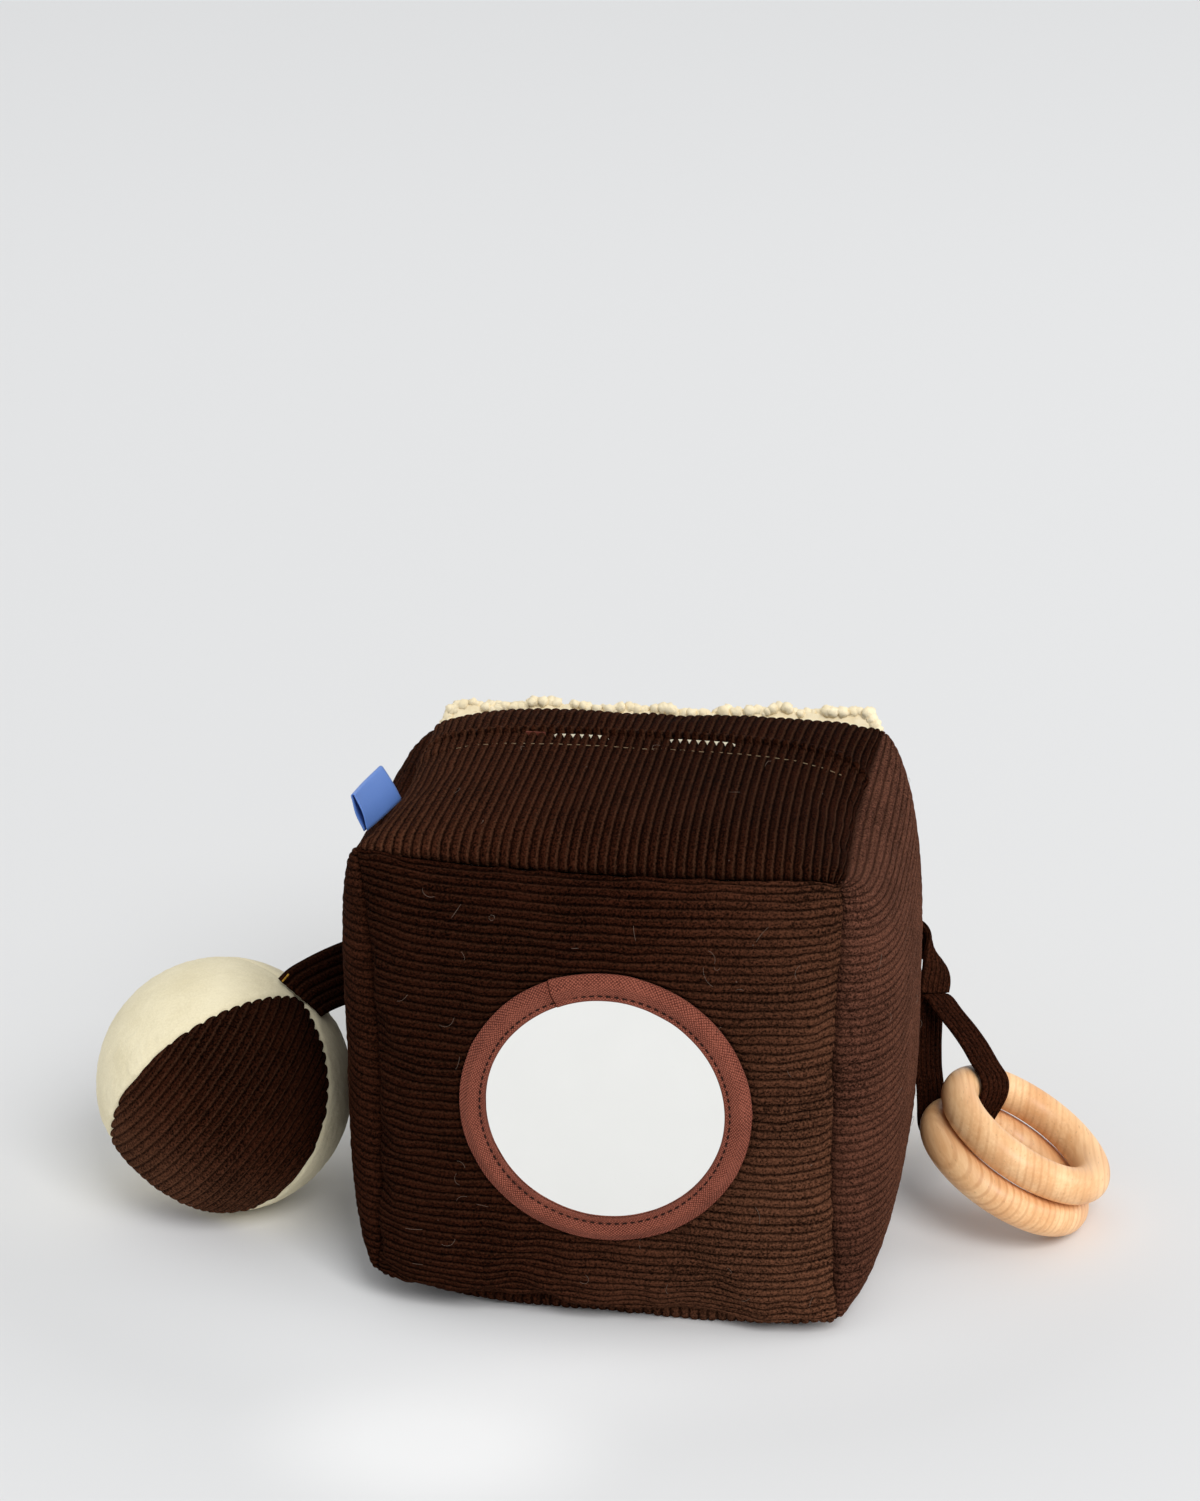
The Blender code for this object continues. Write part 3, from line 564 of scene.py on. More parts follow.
def beech_material(name, grain_turn, shift):
    """Beech: soft growth bands, short dark flecks and a satin finish, in a board's own direction."""
    finish, tree, shader = new_material(name, 0.42, 0.45)
    place = link_mapping(tree, link_place(tree), (1, 1, 1), grain_turn, shift)
    broad = link_noise(tree, link_mapping(tree, place, (150, 12, 60)), 1.0, 2.0)
    bands = link_wave(tree, link_mapping(tree, place, (1.0, 0.12, 0.5)), "X", 120.0, 7.0, 1.0, 0.35)
    late = link_range(tree, bands, 0.60, 1.0)
    fleck = link_noise(tree, link_mapping(tree, place, (1300, 210, 1300)), 1.0, 1.0, 0.6)
    flecks = link_range(tree, fleck, 0.66, 0.76)
    fibre = link_noise(tree, link_mapping(tree, place, (900, 45, 900)), 1.0, 3.0, 0.6)
    tone = link_math(tree, "MULTIPLY_ADD", fibre, 0.35, link_math(tree, "MULTIPLY", broad, 0.65))
    colour = link_mix(tree, link_range(tree, tone, 0.32, 0.72), (0.79, 0.415, 0.180), (0.98, 0.635, 0.335))
    uneven = link_noise(tree, link_mapping(tree, place, (60, 20, 60)), 1.0, 1.0)
    late = link_math(tree, "MULTIPLY", late, link_range(tree, uneven, 0.3, 0.7, 0.12, 0.50))
    colour = link_mix(tree, late, colour, (0.60, 0.265, 0.100))
    colour = link_mix(tree, link_math(tree, "MULTIPLY", flecks, 0.30), colour, (0.36, 0.165, 0.070))
    tree.links.new(colour, shader.inputs["Base Color"])
    tree.links.new(link_range(tree, fibre, 0.3, 0.7, 0.32, 0.50), shader.inputs["Roughness"])
    link_bump(tree, shader, fibre, 0.00012, 0.4)
    return finish


MIRROR_FILM = mirror_material()
print("materials:", len(bpy.data.materials))

# %% [markdown]
# The block is a cube of cloth stuffed until its faces swell. Its seams stay near the cube's edges, so
# each face is a crowned sheet between four seams. The same rule that shapes the solid gives the sheet
# here, with the sizes repeated: how far each face swells, and which corners rise or sink.

# %% The block's shape
BLOCK_WIDTH = 0.150
BLOCK_DEPTH = 0.134
BLOCK_HEIGHT = 0.150
SEAM_DRAW = 0.0028
SEAM_GAP = 0.0003
FLOOR_SEAT = 0.006
MIRROR_SEAT = 0.0098
CROWN_POWER = 3
DRAW_POWER = 6
CORNER_POWER = 5
SEAT_EASE = 0.0005
SEAT_BLEND = 0.0012
FACES = {
    "front": ("-Y", 0.0115, MIRROR_SEAT),
    "back": ("+Y", 0.010, 0.010),
    "left": ("-X", 0.0135, 0.0135),
    "right": ("+X", 0.0175, 0.0175),
    "bottom": ("-Z", 0.009, FLOOR_SEAT),
    "top": ("+Z", 0.011, 0.011),
}
CORNERS = (("---", 0.0065), ("+--", 0.0045), ("-+-", 0.0050), ("++-", 0.0040), ("-++", -0.0075))
HALF = np.array((BLOCK_WIDTH, BLOCK_DEPTH, BLOCK_HEIGHT)) / 2
BLOCK_MIDDLE = np.array((0, 0, FLOOR_SEAT + BLOCK_HEIGHT / 2))


def face_axes(face):
    """The axis that a face looks along, its side, and the face's own two axes."""
    aim = FACES[face][0]
    axis = "XYZ".index(aim[1])
    first, second = [i for i in range(3) if i != axis]
    return axis, (1 if aim[0] == "+" else -1), first, second


def corner_rise(points):
    """How far the corners take the cloth near them up or down."""
    total = 0.0
    for signs, rise in CORNERS:
        near = 1.0
        for i, sign in enumerate(signs):
            side = 1 if sign == "+" else -1
            near = near * np.clip((1 + side * points[..., i] / HALF[i]) / 2, 0, 1)
        total = total + rise * near ** CORNER_POWER
    return total


def block_surface(face, first, second, inset=0.0):
    """Places on a stuffed face, for shares from -1 to 1 between its seams."""
    axis, side, a, b = face_axes(face)
    _, swell, seat = FACES[face]
    points = np.zeros(first.shape + (3,))
    room = 1 - first ** 2, 1 - second ** 2
    points[..., a] = first * (HALF[a] - inset - SEAM_DRAW * room[1])
    points[..., b] = second * (HALF[b] - inset - SEAM_DRAW * room[0])
    crown = np.ones(first.shape)
    for share in (first, second):
        crown = crown * np.maximum(1 - np.abs(share) ** CROWN_POWER, 0) ** (1 / CROWN_POWER)
    drawn = room[1] * np.abs(first) ** DRAW_POWER + room[0] * np.abs(second) ** DRAW_POWER
    lift = swell * crown
    if seat < swell:
        lift = -SEAT_EASE * np.logaddexp(-lift / SEAT_EASE, -seat / SEAT_EASE)
    points[..., axis] = side * (HALF[axis] + lift - SEAM_DRAW * drawn)
    rise = corner_rise(points)
    if face == "bottom":
        rise = rise * smooth_share(seat - lift, 0, SEAT_BLEND)
    points[..., 2] += rise
    return settle(points + BLOCK_MIDDLE)


# %% [markdown]
# A handled toy is never square. Each of these small moves takes the cloth near one corner or edge
# along, and fades away from it. The signs tell where: a sign for an axis pulls towards that end, and a
# power of 0 leaves the axis out.

# %% Settled corners
SETTLED = (
    ("-++", (3, 0, 3), (-0.0018, 0, 0)),
    ("--+", (3, 3, 3), (-0.0022, 0, 0)),
    ("+-+", (0, 8, 3), (0, 0, 0.0030)),
    ("--+", (6, 8, 3), (0.0012, 0, 0.0014)),
    ("+--", (1.5, 5, 5), (0, 0, -0.0036)),
    ("---", (6, 6, 2), (0.0010, 0, 0)),
    ("---", (0, 7, 8), (0, 0, -0.0034)),
    ("---", (5, 7, 8), (0, 0, 0.0034)),
    ("+--", (5, 7, 8), (0, 0, 0.0026)),
)


def settle(points):
    """Move places of the block as its corners have settled."""
    moved = points.copy()
    share = (points - BLOCK_MIDDLE) / HALF
    for signs, powers, move in SETTLED:
        weight = 1.0
        for i in range(3):
            side = 1 if signs[i] == "+" else -1
            weight = weight * np.clip((1 + side * share[..., i]) / 2, 0, 1) ** powers[i]
        moved = moved + np.asarray(weight)[..., None] * np.array(move)
    return moved


# %% [markdown]
# Stuffing pushes cloth out unevenly and the seams hold it back, which makes the soft swells and
# puckers of a real toy. Blender's cloth simulation gives exactly that: a coarse cube of cloth, pinned
# along its seams, is blown up by pressure with no gravity. The stiff mirror, the hemmed slit and the
# floor hold their cloth too, so it is pinned there as well. The cloth is cut a little too large, as a
# maker would, and the distance that any point may move is capped. Only the movement is kept, and the
# fine panels are moved by it afterwards.

# %% Stuffing the block
CUBE_CELLS = 24
STUFF_FRAMES = 20
CLOTH_SETTINGS = {
    "quality": 5, "mass": 0.15,
    "tension_stiffness": 12, "compression_stiffness": 8, "shear_stiffness": 4, "bending_stiffness": 0.25,
    "shrink_min": -0.035, "use_pressure": True, "uniform_pressure_force": 4.0, "vertex_group_mass": "seams",
}
ON_FACE = 0.001
ON_SEAM = 0.999
PUSH_CAP = 0.0010
EASED_PUSH = (("top", 0.4), ("left", 0.3), ("right", 0.15))
MIRROR_X = 0.0016
MIRROR_Z = 0.0812
MIRROR_BED = 0.0468
MIRROR_HOLD = 0.0060
SLIT_SHARE = math.sin(0.22 * math.pi / 2)
SLIT_HOLD = 0.0120
FLOOR_HOLD = 0.0030


def stuffed_cube():
    """A coarse cube of cloth in the block's shape, and its points' unit places."""
    cube = add_primitive(bpy.ops.mesh.primitive_cube_add, "block_stuffing", size=2)
    edit(cube)
    bpy.ops.mesh.subdivide(number_cuts=CUBE_CELLS - 1)
    leave_edit()
    unit = read_points(cube.data)
    spread = np.sin(unit * math.pi / 2)
    places = np.zeros_like(unit)
    for face in FACES:
        axis, side, a, b = face_axes(face)
        on = np.abs(unit[:, axis] - side) < ON_FACE
        places[on] = block_surface(face, spread[on][:, a], spread[on][:, b])
    move_points(cube.data, places)
    return cube, unit, places


def blow_up(piece, pinned):
    """Press a piece of cloth outward between its pinned seams, and apply the result."""
    group = piece.vertex_groups.new(name="seams")
    group.add([int(i) for i in pinned], 1.0, "REPLACE")
    cloth = piece.modifiers.new("stuffing", "CLOTH")
    for setting, value in CLOTH_SETTINGS.items():
        setattr(cloth.settings, setting, value)
    cloth.settings.effector_weights.gravity = 0
    cloth.point_cache.frame_start = 1
    cloth.point_cache.frame_end = STUFF_FRAMES
    for step in range(1, STUFF_FRAMES + 1):
        bpy.context.scene.frame_set(step)
    select_only(piece)
    bpy.ops.object.modifier_apply(modifier=cloth.name)
    bpy.context.scene.frame_set(1)
    return read_points(piece.data)


def cap_push(push):
    """Keep every movement under the cap, easing into it."""
    length = np.linalg.norm(push, axis=-1, keepdims=True)
    return push * PUSH_CAP * np.tanh(length / PUSH_CAP) / np.maximum(length, 1e-9)


def face_grids(unit, push):
    """Sort the movements into one grid for each face."""
    grids = {}
    cell = np.rint((unit + 1) / 2 * CUBE_CELLS).astype(int)
    for face in FACES:
        axis, side, a, b = face_axes(face)
        on = np.abs(unit[:, axis] - side) < ON_FACE
        grid = np.zeros((CUBE_CELLS + 1, CUBE_CELLS + 1, 3))
        grid[cell[on][:, a], cell[on][:, b]] = push[on]
        grids[face] = grid
    return grids


def held_points(unit, places):
    """Points that stay: along the seams and the slit, behind the mirror and on the floor."""
    seams = (np.abs(unit) > ON_SEAM).sum(axis=1) >= 2
    from_mirror = np.hypot(places[:, 0] - MIRROR_X, places[:, 2] - MIRROR_Z)
    mirror = (unit[:, 1] < -ON_SEAM) & (from_mirror < MIRROR_BED + MIRROR_HOLD)
    slit = (unit[:, 2] > ON_SEAM) & (np.abs(places[:, 1] - SLIT_SHARE * HALF[1]) < SLIT_HOLD)
    return np.flatnonzero(seams | mirror | slit | (places[:, 2] < FLOOR_HOLD))


STUFFING, unit_places, cloth_places = stuffed_cube()
block_push = cap_push(blow_up(STUFFING, held_points(unit_places, cloth_places)) - cloth_places)
PUSH = face_grids(unit_places, block_push)
for eased_face, eased_share in EASED_PUSH:
    PUSH[eased_face] *= eased_share
print("stuffing moved the cloth by up to", round(float(np.abs(block_push).max()) * 1000, 2), "mm")

# %% [markdown]
# Between the coarse points the movement has to be smooth, or every coarse cell would show as a facet.
# A cubic curve through four neighbours each way does that.

# %% Reading the stuffing between its points
def cubic_weights(share):
    """Weights of four neighbouring values for a place between the middle two."""
    return np.stack((((-0.5 * share + 1) * share - 0.5) * share,
                     (1.5 * share - 2.5) * share * share + 1,
                     ((-1.5 * share + 2) * share + 0.5) * share,
                     (0.5 * share - 0.5) * share * share), axis=-1)


def stuffing_push(face, first, second):
    """How far the stuffing moves the cloth at places of a face."""
    grid = PUSH[face]
    result = np.zeros(first.shape + (3,))
    spots = []
    for share in (first, second):
        place = (np.arcsin(np.clip(share, -1, 1)) / (math.pi / 2) + 1) / 2 * CUBE_CELLS
        cell = np.clip(np.floor(place).astype(int), 0, CUBE_CELLS - 1)
        spots.append((cell, cubic_weights(place - cell)))
    (row, row_weight), (column, column_weight) = spots
    for i in range(4):
        r = np.clip(row + i - 1, 0, CUBE_CELLS)
        for j in range(4):
            c = np.clip(column + j - 1, 0, CUBE_CELLS)
            weight = row_weight[..., i] * column_weight[..., j]
            result += grid[r, c] * weight[..., None]
    return result


# %% [markdown]
# A panel is woven as a grid whose rows follow the wales. Each wale has seven rows, close together at
# its groove, so the ribs are real geometry. Rows are spaced along the curved cloth and not across the
# cube, or the ribs would look stretched where the cloth turns down to a seam. At a seam both panels
# dive into the same groove, with small puckers beside it.

# %% Weaving a panel
WALE_PITCH = 0.00295
WALE_HEIGHT = 0.00062
WALE_POWER = 2.6
WALE_ROWS_SHARES = (0.0, 0.09, 0.24, 0.42, 0.58, 0.76, 0.91)
WALE_TUFT = 0.00016
ALONG_CELL = 0.0016
EDGE_STEPS = (0.0, 0.0004, 0.0009, 0.0016)
TUCK_DEPTH = 0.0009
TUCK_REACH = 0.0008
PUCKER_HEIGHT = 0.0006
PUCKER_REACH = 0.0065
PUCKER_STEP = 0.0062
CORNER_PIT = 0.0016
CORNER_PIT_REACH = 0.0035
CLOTH_THICKNESS = 0.0012
FLOOR_CLEAR = 0.0002
KNOT_PLACE = HALF * np.array((1, -1, 1)) + BLOCK_MIDDLE
KNOT_PIT = 0.0030
KNOT_REACH = 0.0048
WOVEN = {}


def wale_height(phase):
    """Height share of a wale, from its groove at 0 to its groove at 1."""
    return 1 - np.abs(2 * (phase % 1.0) - 1) ** WALE_POWER


def wale_tufts(number, length, seed):
    """Uneven pile on the wales, from wale numbers and from lengths counted in wales."""
    return WALE_TUFT * value_noise(number * 1.1 + 3, length * 0.75 + 5, seed)


def arc_table(face, axis):
    """Shares from seam to seam across a face's middle, with the cloth's length up to each."""
    share = np.sin(np.linspace(-math.pi / 2, math.pi / 2, 1201))
    _, _, first, _ = face_axes(face)
    zero = np.zeros_like(share)
    line = block_surface(face, share, zero) if axis == first else block_surface(face, zero, share)
    return share, length_up_to(line)


def wale_numbers(count):
    """The wale numbers of the rows that a count of wales has."""
    return np.array([wale + share for wale in range(count) for share in WALE_ROWS_SHARES] + [count])


def wale_rows(length):
    """Places across the wales and their wale numbers, for a cloth of some width."""
    count = max(1, round(length / WALE_PITCH))
    numbers = wale_numbers(count)
    return numbers * length / count, numbers


def along_columns(length):
    """Places along the wales, closer together near both ends."""
    inner = np.linspace(EDGE_STEPS[-1], length - EDGE_STEPS[-1], round(length / ALONG_CELL))
    start = np.array(EDGE_STEPS[:-1])
    return np.concatenate((start, inner, length - start[::-1]))


def seam_tuck(face, points, first, second, edge_first, edge_second):
    """Dive into the seams: both panels at a seam go to the same line inside it."""
    axis, side, a, b = face_axes(face)
    dive_first = np.exp(-(edge_first / TUCK_REACH) ** 2)
    dive_second = np.exp(-(edge_second / TUCK_REACH) ** 2)
    points[..., a] -= TUCK_DEPTH * dive_first * np.sign(first)
    points[..., b] -= TUCK_DEPTH * dive_second * np.sign(second)
    points[..., axis] -= side * TUCK_DEPTH * np.maximum(dive_first, dive_second)
    return 1 - np.maximum(dive_first, dive_second)


def puckers(face, first, second, edge_first, edge_second):
    """Small waves across each seam, from the pull of its stitches."""
    _, _, a, b = face_axes(face)
    seed = 11 + list(FACES).index(face)
    by_first = value_noise(second * HALF[b] / PUCKER_STEP + 20, np.sign(first) * 3 + 8, seed)
    by_second = value_noise(first * HALF[a] / PUCKER_STEP + 20, np.sign(second) * 3 + 9, seed + 10)
    wave = by_first * np.exp(-edge_first / PUCKER_REACH) + by_second * np.exp(-edge_second / PUCKER_REACH)
    return PUCKER_HEIGHT * wave


def weave(name, face, wale_axis, rows, columns, shape=None):
    """Lay a panel's cloth over the block and return its points.

    rows and columns each hold shares from seam to seam, wale numbers and distances from the seams.
    """
    row_share, row_number, row_edge = rows
    column_share, column_number, column_edge = columns
    across, along = np.meshgrid(row_share, column_share, indexing="ij")
    number, length = np.meshgrid(row_number, column_number, indexing="ij")
    edge_across, edge_along = np.meshgrid(row_edge, column_edge, indexing="ij")
    axis, side, a, _ = face_axes(face)
    if wale_axis == a:
        first, second, edge_first, edge_second = along, across, edge_along, edge_across
    else:
        first, second, edge_first, edge_second = across, along, edge_across, edge_along
    points = block_surface(face, first, second, SEAM_GAP) + stuffing_push(face, first, second)
    normal = grid_normals(points)
    middle = normal[len(row_share) // 2, len(column_share) // 2]
    if middle[axis] * side < 0:
        normal = -normal
    height = (WALE_HEIGHT + wale_tufts(number, length, 17)) * wale_height(number)
    height = height + puckers(face, first, second, edge_first, edge_second)
    height = height - CORNER_PIT * np.exp(-(edge_first ** 2 + edge_second ** 2) / CORNER_PIT_REACH ** 2)
    from_knot = np.linalg.norm(points - settle(KNOT_PLACE), axis=-1)
    pit = KNOT_PIT * np.exp(-(from_knot / KNOT_REACH) ** 2)
    points = points - pit[..., None] * unit_vector(HALF * (1, -1, 1))
    if shape is not None:
        height, points = shape(points, height, number, first)
    free = seam_tuck(face, points, first, second, edge_first, edge_second)
    points = points + normal * (height * free)[..., None]
    points[..., 2] = np.maximum(points[..., 2], FLOOR_CLEAR)
    WOVEN[name] = (points, normal, first, second)
    return points, number, length


def finish_panel(name, points, number, length, outward):
    """Make a woven panel a closed sheet of cloth."""
    if outward < 0:
        points, number, length = points[:, ::-1], number[:, ::-1], length[:, ::-1]
    piece = grid_piece(name, points, number, length)
    apply_modifier(piece, "SOLIDIFY", thickness=CLOTH_THICKNESS, offset=-1.0)
    piece.data.shade_smooth()
    return piece


def grid_faces_out(points, face):
    """Whether a grid of points has its faces' normals out of the block: 1 or -1."""
    axis, side, _, _ = face_axes(face)
    rows, columns = points.shape[:2]
    r, c = rows // 2, columns // 2
    right = points[r, min(c + 3, columns - 1)] - points[r, c]
    up = points[min(r + 7, rows - 1), c] - points[r, c]
    return 1 if np.cross(right, up)[axis] * side > 0 else -1


# %% [markdown]
# The front carries the mirror, so its cloth lies lower in a round bed behind the disc. Near its lower
# edge the cloth sags in a few soft upright waves, which the photograph shows under the mirror.

# %% Front, sides and bottom
FRONT_WAVES = ((-0.024, 0.0085, 0.0010), (-0.008, 0.0080, -0.0006), (0.029, 0.0085, 0.0012),
               (0.049, 0.0100, -0.0008), (-0.052, 0.0110, -0.0006))
WAVE_TOP = 0.036
WAVE_DEEPEST = 0.010
BED_DEPTH = 0.0014
BED_EDGE = 0.0012


def front_shape(points, height, number, first):
    """The mirror's bed and the waves near the lower edge."""
    from_mirror = np.hypot(points[..., 0] - MIRROR_X, points[..., 2] - MIRROR_Z)
    bed = 1 - smooth_share(from_mirror, MIRROR_BED - BED_EDGE, MIRROR_BED + BED_EDGE)
    height = height - BED_DEPTH * bed
    low = 1 - smooth_share(points[..., 2], WAVE_DEEPEST, WAVE_TOP)
    for middle, width, deep in FRONT_WAVES:
        height = height - deep * low * np.exp(-((points[..., 0] - middle) / width) ** 2)
    return height, points


def seam_to_seam(face, axis, wales):
    """Rows or columns over the whole of a face, from one seam to the other."""
    share, length = arc_table(face, axis)
    if wales:
        places, numbers = wale_rows(length[-1])
    else:
        places = along_columns(length[-1])
        numbers = places / WALE_PITCH
    edge = np.minimum(places, length[-1] - places)
    return np.interp(places, length, share), numbers, edge


def make_panel(name, face, wale_axis, finish, shape=None, columns=None):
    """Weave, close and dress a panel, from seam to seam unless its columns are given."""
    _, _, a, b = face_axes(face)
    rows = seam_to_seam(face, b if wale_axis == a else a, True)
    if columns is None:
        columns = seam_to_seam(face, wale_axis, False)
    points, number, length = weave(name, face, wale_axis, rows, columns, shape)
    piece = finish_panel(name, points, number, length, grid_faces_out(points, face))
    dress(piece, "block", finish, "corduroy", name.replace("cloth", "panel"))


make_panel("front_cloth", "front", 0, CORDUROY_FRONT, front_shape)
make_panel("left_cloth", "left", 1, CORDUROY_LEFT)
make_panel("right_cloth", "right", 1, CORDUROY_SIDE)
make_panel("bottom_cloth", "bottom", 1, CORDUROY_FRONT)

# %% [markdown]
# The top is two panels that meet at a slit, and each is folded under there into a hem. The wales run
# from front to back. The hem is twice as thick, so it stands up a little, and the line of stitches
# presses a groove into it.

# %% Top panels and the slit
SLIT_LENGTH = 0.110
SLIT_SHUT = 0.00035
SLIT_OPENINGS = ((-0.0216, 0.0130, 0.00045), (0.0196, 0.0145, 0.00050))
ROLL_END = (0.066, 0.074)
HEM_WIDTH_FRONT = 0.0105
HEM_WIDTH_REAR = 0.0085
HEM_HEIGHT = 0.0006
HEM_EASE_IN = 0.001
HEM_EASE_OUT = 0.002
ROLL_HEIGHT = {1: 0.0002, -1: 0.0015}
ROLL_WIDTH = 0.0024
ROLL_RIB = 1.8
STITCH_INSET = 0.0008
STITCH_GROOVE = 0.0008
STITCH_GROOVE_WIDTH = 0.0011
LIP_REACH = 0.0060
LIP_FOLD = 0.0034
LIP_FOLD_REACH = 0.00045


def slit_line(first):
    """Where the slit runs, as a depth, at shares across the top."""
    return SLIT_SHARE * (HALF[1] - SEAM_DRAW * (1 - first ** 2))


def slit_gap(x):
    """Half of the slit's opening at a place along it: the lips stand apart in two places."""
    gap = SLIT_SHUT
    for middle, half, wide in SLIT_OPENINGS:
        gap = gap + wide * np.exp(-((x - middle) / half) ** 4)
    return gap * np.clip(1 - (x / (SLIT_LENGTH / 2)) ** 6, 0, 1) + SEAM_GAP / 2


def hem_shape(side, hem_width):
    """The hem beside the slit, for the panel in front of it (1) or behind it (-1).

    The rear lip rolls up higher, and the ends of its wales stand out like a row of beads.
    """
    def shape(points, height, number, first):
        from_slit = side * (slit_line(first) - points[..., 1])
        within = 1 - smooth_share(np.abs(points[..., 0]), *ROLL_END)
        near = np.exp(-np.maximum(from_slit, 0) / LIP_REACH)
        points = points.copy()
        points[..., 1] -= side * slit_gap(points[..., 0]) * near
        hem = 1 - smooth_share(from_slit, hem_width - HEM_EASE_IN, hem_width + HEM_EASE_OUT)
        roll = np.exp(-((from_slit - ROLL_WIDTH / 2) / ROLL_WIDTH) ** 2) * within
        groove = np.exp(-((from_slit - hem_width + STITCH_INSET) / STITCH_GROOVE_WIDTH) ** 2)
        ribs = WALE_HEIGHT * (wale_height(number) - 0.75) * ROLL_RIB * roll
        height = height + HEM_HEIGHT * hem + ROLL_HEIGHT[side] * roll + ribs
        height = height - STITCH_GROOVE * groove * (0.75 + 0.25 * np.sin(number * 2.1))
        fold = np.exp(-(from_slit / LIP_FOLD_REACH) ** 2)
        points[..., 2] -= LIP_FOLD * fold
        return height * (1 - 0.8 * fold), points
    return shape


def slit_columns(low, high):
    """Columns of a top panel between a seam and the slit, given as shares."""
    share, length = arc_table("top", 1)
    start, end = np.interp((low, high), share, length)
    places = start + along_columns(end - start)
    to_seam = places if low < -0.99 else length[-1] - places
    return np.interp(places, length, share), places / WALE_PITCH, to_seam


make_panel("top_front_cloth", "top", 1, CORDUROY_TOP, hem_shape(1, HEM_WIDTH_FRONT),
           slit_columns(-1, SLIT_SHARE))
make_panel("top_rear_cloth", "top", 1, CORDUROY_TOP, hem_shape(-1, HEM_WIDTH_REAR),
           slit_columns(SLIT_SHARE, 1))

# %% [markdown]
# Inside the slit is a flat pocket of thin cream cloth, open at the top. Only its upper edge can be
# seen. It starts as a box without a lid, is subdivided and rippled a little, and gets its thickness
# from Solidify. A short rust tape peeps out at the slit's left end.

# %% Pocket lining and tape
POCKET_HALF_WIDTH = 0.0515
POCKET_HALF_THROAT = 0.0019
POCKET_LOW = 0.0785
POCKET_HIGH = 0.1670
POCKET_FLARE = 0.012
LINING_SHOW = 0.0004
LINING_HIDE = 0.0040
LINING_CLEAR = 0.0005
LINING_LEAST = 0.0003
LINING_GAPS = (1.7, 2.6)
LINING_THICKNESS = 0.0003
RIPPLE_WIDTH = 0.008
RIPPLE_HEIGHT = 0.02
RIPPLE_DEPTH = 0.00035
TAPE_EDGE = 0.0002
SLIT_Y = SLIT_SHARE * (HALF[1] - SEAM_DRAW)
TAPE_CORNERS = ((-0.0390, 0.0213, 0.1560), (-0.0325, 0.0221, 0.1675))


def open_box(name, low, high, cuts):
    """A box between two corners with its lid taken off, subdivided for shaping."""
    piece = make_box(name, low, high)
    edit_top(piece)
    bpy.ops.mesh.delete(type="FACE")
    bpy.ops.mesh.select_all(action="SELECT")
    bpy.ops.mesh.subdivide(number_cuts=cuts)
    leave_edit()
    return piece


def make_pocket():
    """The pocket's lining."""
    low = (-POCKET_HALF_WIDTH, SLIT_Y - POCKET_HALF_THROAT, POCKET_LOW)
    high = (POCKET_HALF_WIDTH, SLIT_Y + POCKET_HALF_THROAT, POCKET_HIGH)
    lining = open_box("pocket_cloth", low, high, 40)
    places = read_points(lining.data)
    x = places[:, 0]
    side = np.where(places[:, 1] > SLIT_Y, 1, -1)
    first = np.clip(x / HALF[0], -1, 1)
    gap = slit_gap(x)
    lip = block_surface("top", first, np.full_like(first, SLIT_SHARE))[:, 2]
    shown = smooth_share(gap, SLIT_SHUT * LINING_GAPS[0], SLIT_SHUT * LINING_GAPS[1])
    rise = lip - POCKET_HIGH - LINING_HIDE + (LINING_SHOW + LINING_HIDE) * shown
    top = smooth_share(places[:, 2], POCKET_HIGH - POCKET_FLARE, POCKET_HIGH)
    wave = value_noise(x / RIPPLE_WIDTH + 9, places[:, 2] / RIPPLE_HEIGHT + side * 3, 31)
    straight = SLIT_Y + side * (POCKET_HALF_THROAT - RIPPLE_DEPTH * np.abs(wave))
    flared = slit_line(first) + side * np.maximum(gap - LINING_CLEAR, LINING_LEAST)
    places[:, 1] = straight * (1 - top) + flared * top
    places[:, 2] += rise * top
    move_points(lining.data, places)
    apply_modifier(lining, "SOLIDIFY", thickness=LINING_THICKNESS, offset=1.0)
    lining.data.shade_smooth()
    dress(lining, "block", LINING, "lining", "pocket_lining")


def make_tape():
    """The short tape at the slit's left end."""
    tape = make_box("pocket_tape_end", *TAPE_CORNERS)
    tape.data.uv_layers[0].name = "cloth"
    edit(tape)
    bpy.ops.mesh.subdivide(number_cuts=6)
    leave_edit()
    apply_modifier(tape, "BEVEL", width=TAPE_EDGE, segments=2)
    tape.data.shade_smooth()
    dress(tape, "block", TWILL, "binding", "pocket_tape")


make_pocket()
make_tape()

# %% [markdown]
# The back is sherpa, a fleece of small curls. Up close it is a field of soft nubs, so the sheet's
# points are pushed out by noise at the size of a curl. Small uneven tufts, copied from one rounded
# primitive, sit close together on it and make the fluffy edge that shows over the top of the block.

# %% Sherpa back
SHERPA_PILE = 0.0076
SHERPA_TUCK = 0.0010
SHERPA_LEAN = 2.4
SHERPA_LEAN_REACH = 0.012
SHERPA_CELLS = 210
SHERPA_SIDE_REACH = 0.006
SHERPA_SIDE_PILE = 0.35
SHERPA_CLEAR = 0.0004
NUB_LEVEL = 0.70
NUB_SIZES = ((0.013, 0.10), (0.0058, 0.14), (0.0023, 0.10))
TUFT_COUNT = 2300
TUFT_RADIUS = 0.0020
TUFT_SIZES = (0.55, 1.1)
TUFT_LIFT = 0.2
TUFT_CLEAR = 0.0005
TUFT_ROUGHNESS = 0.22
TOP_TUFTS_SHARE = 0.38
TOP_TUFT_ROWS = 24


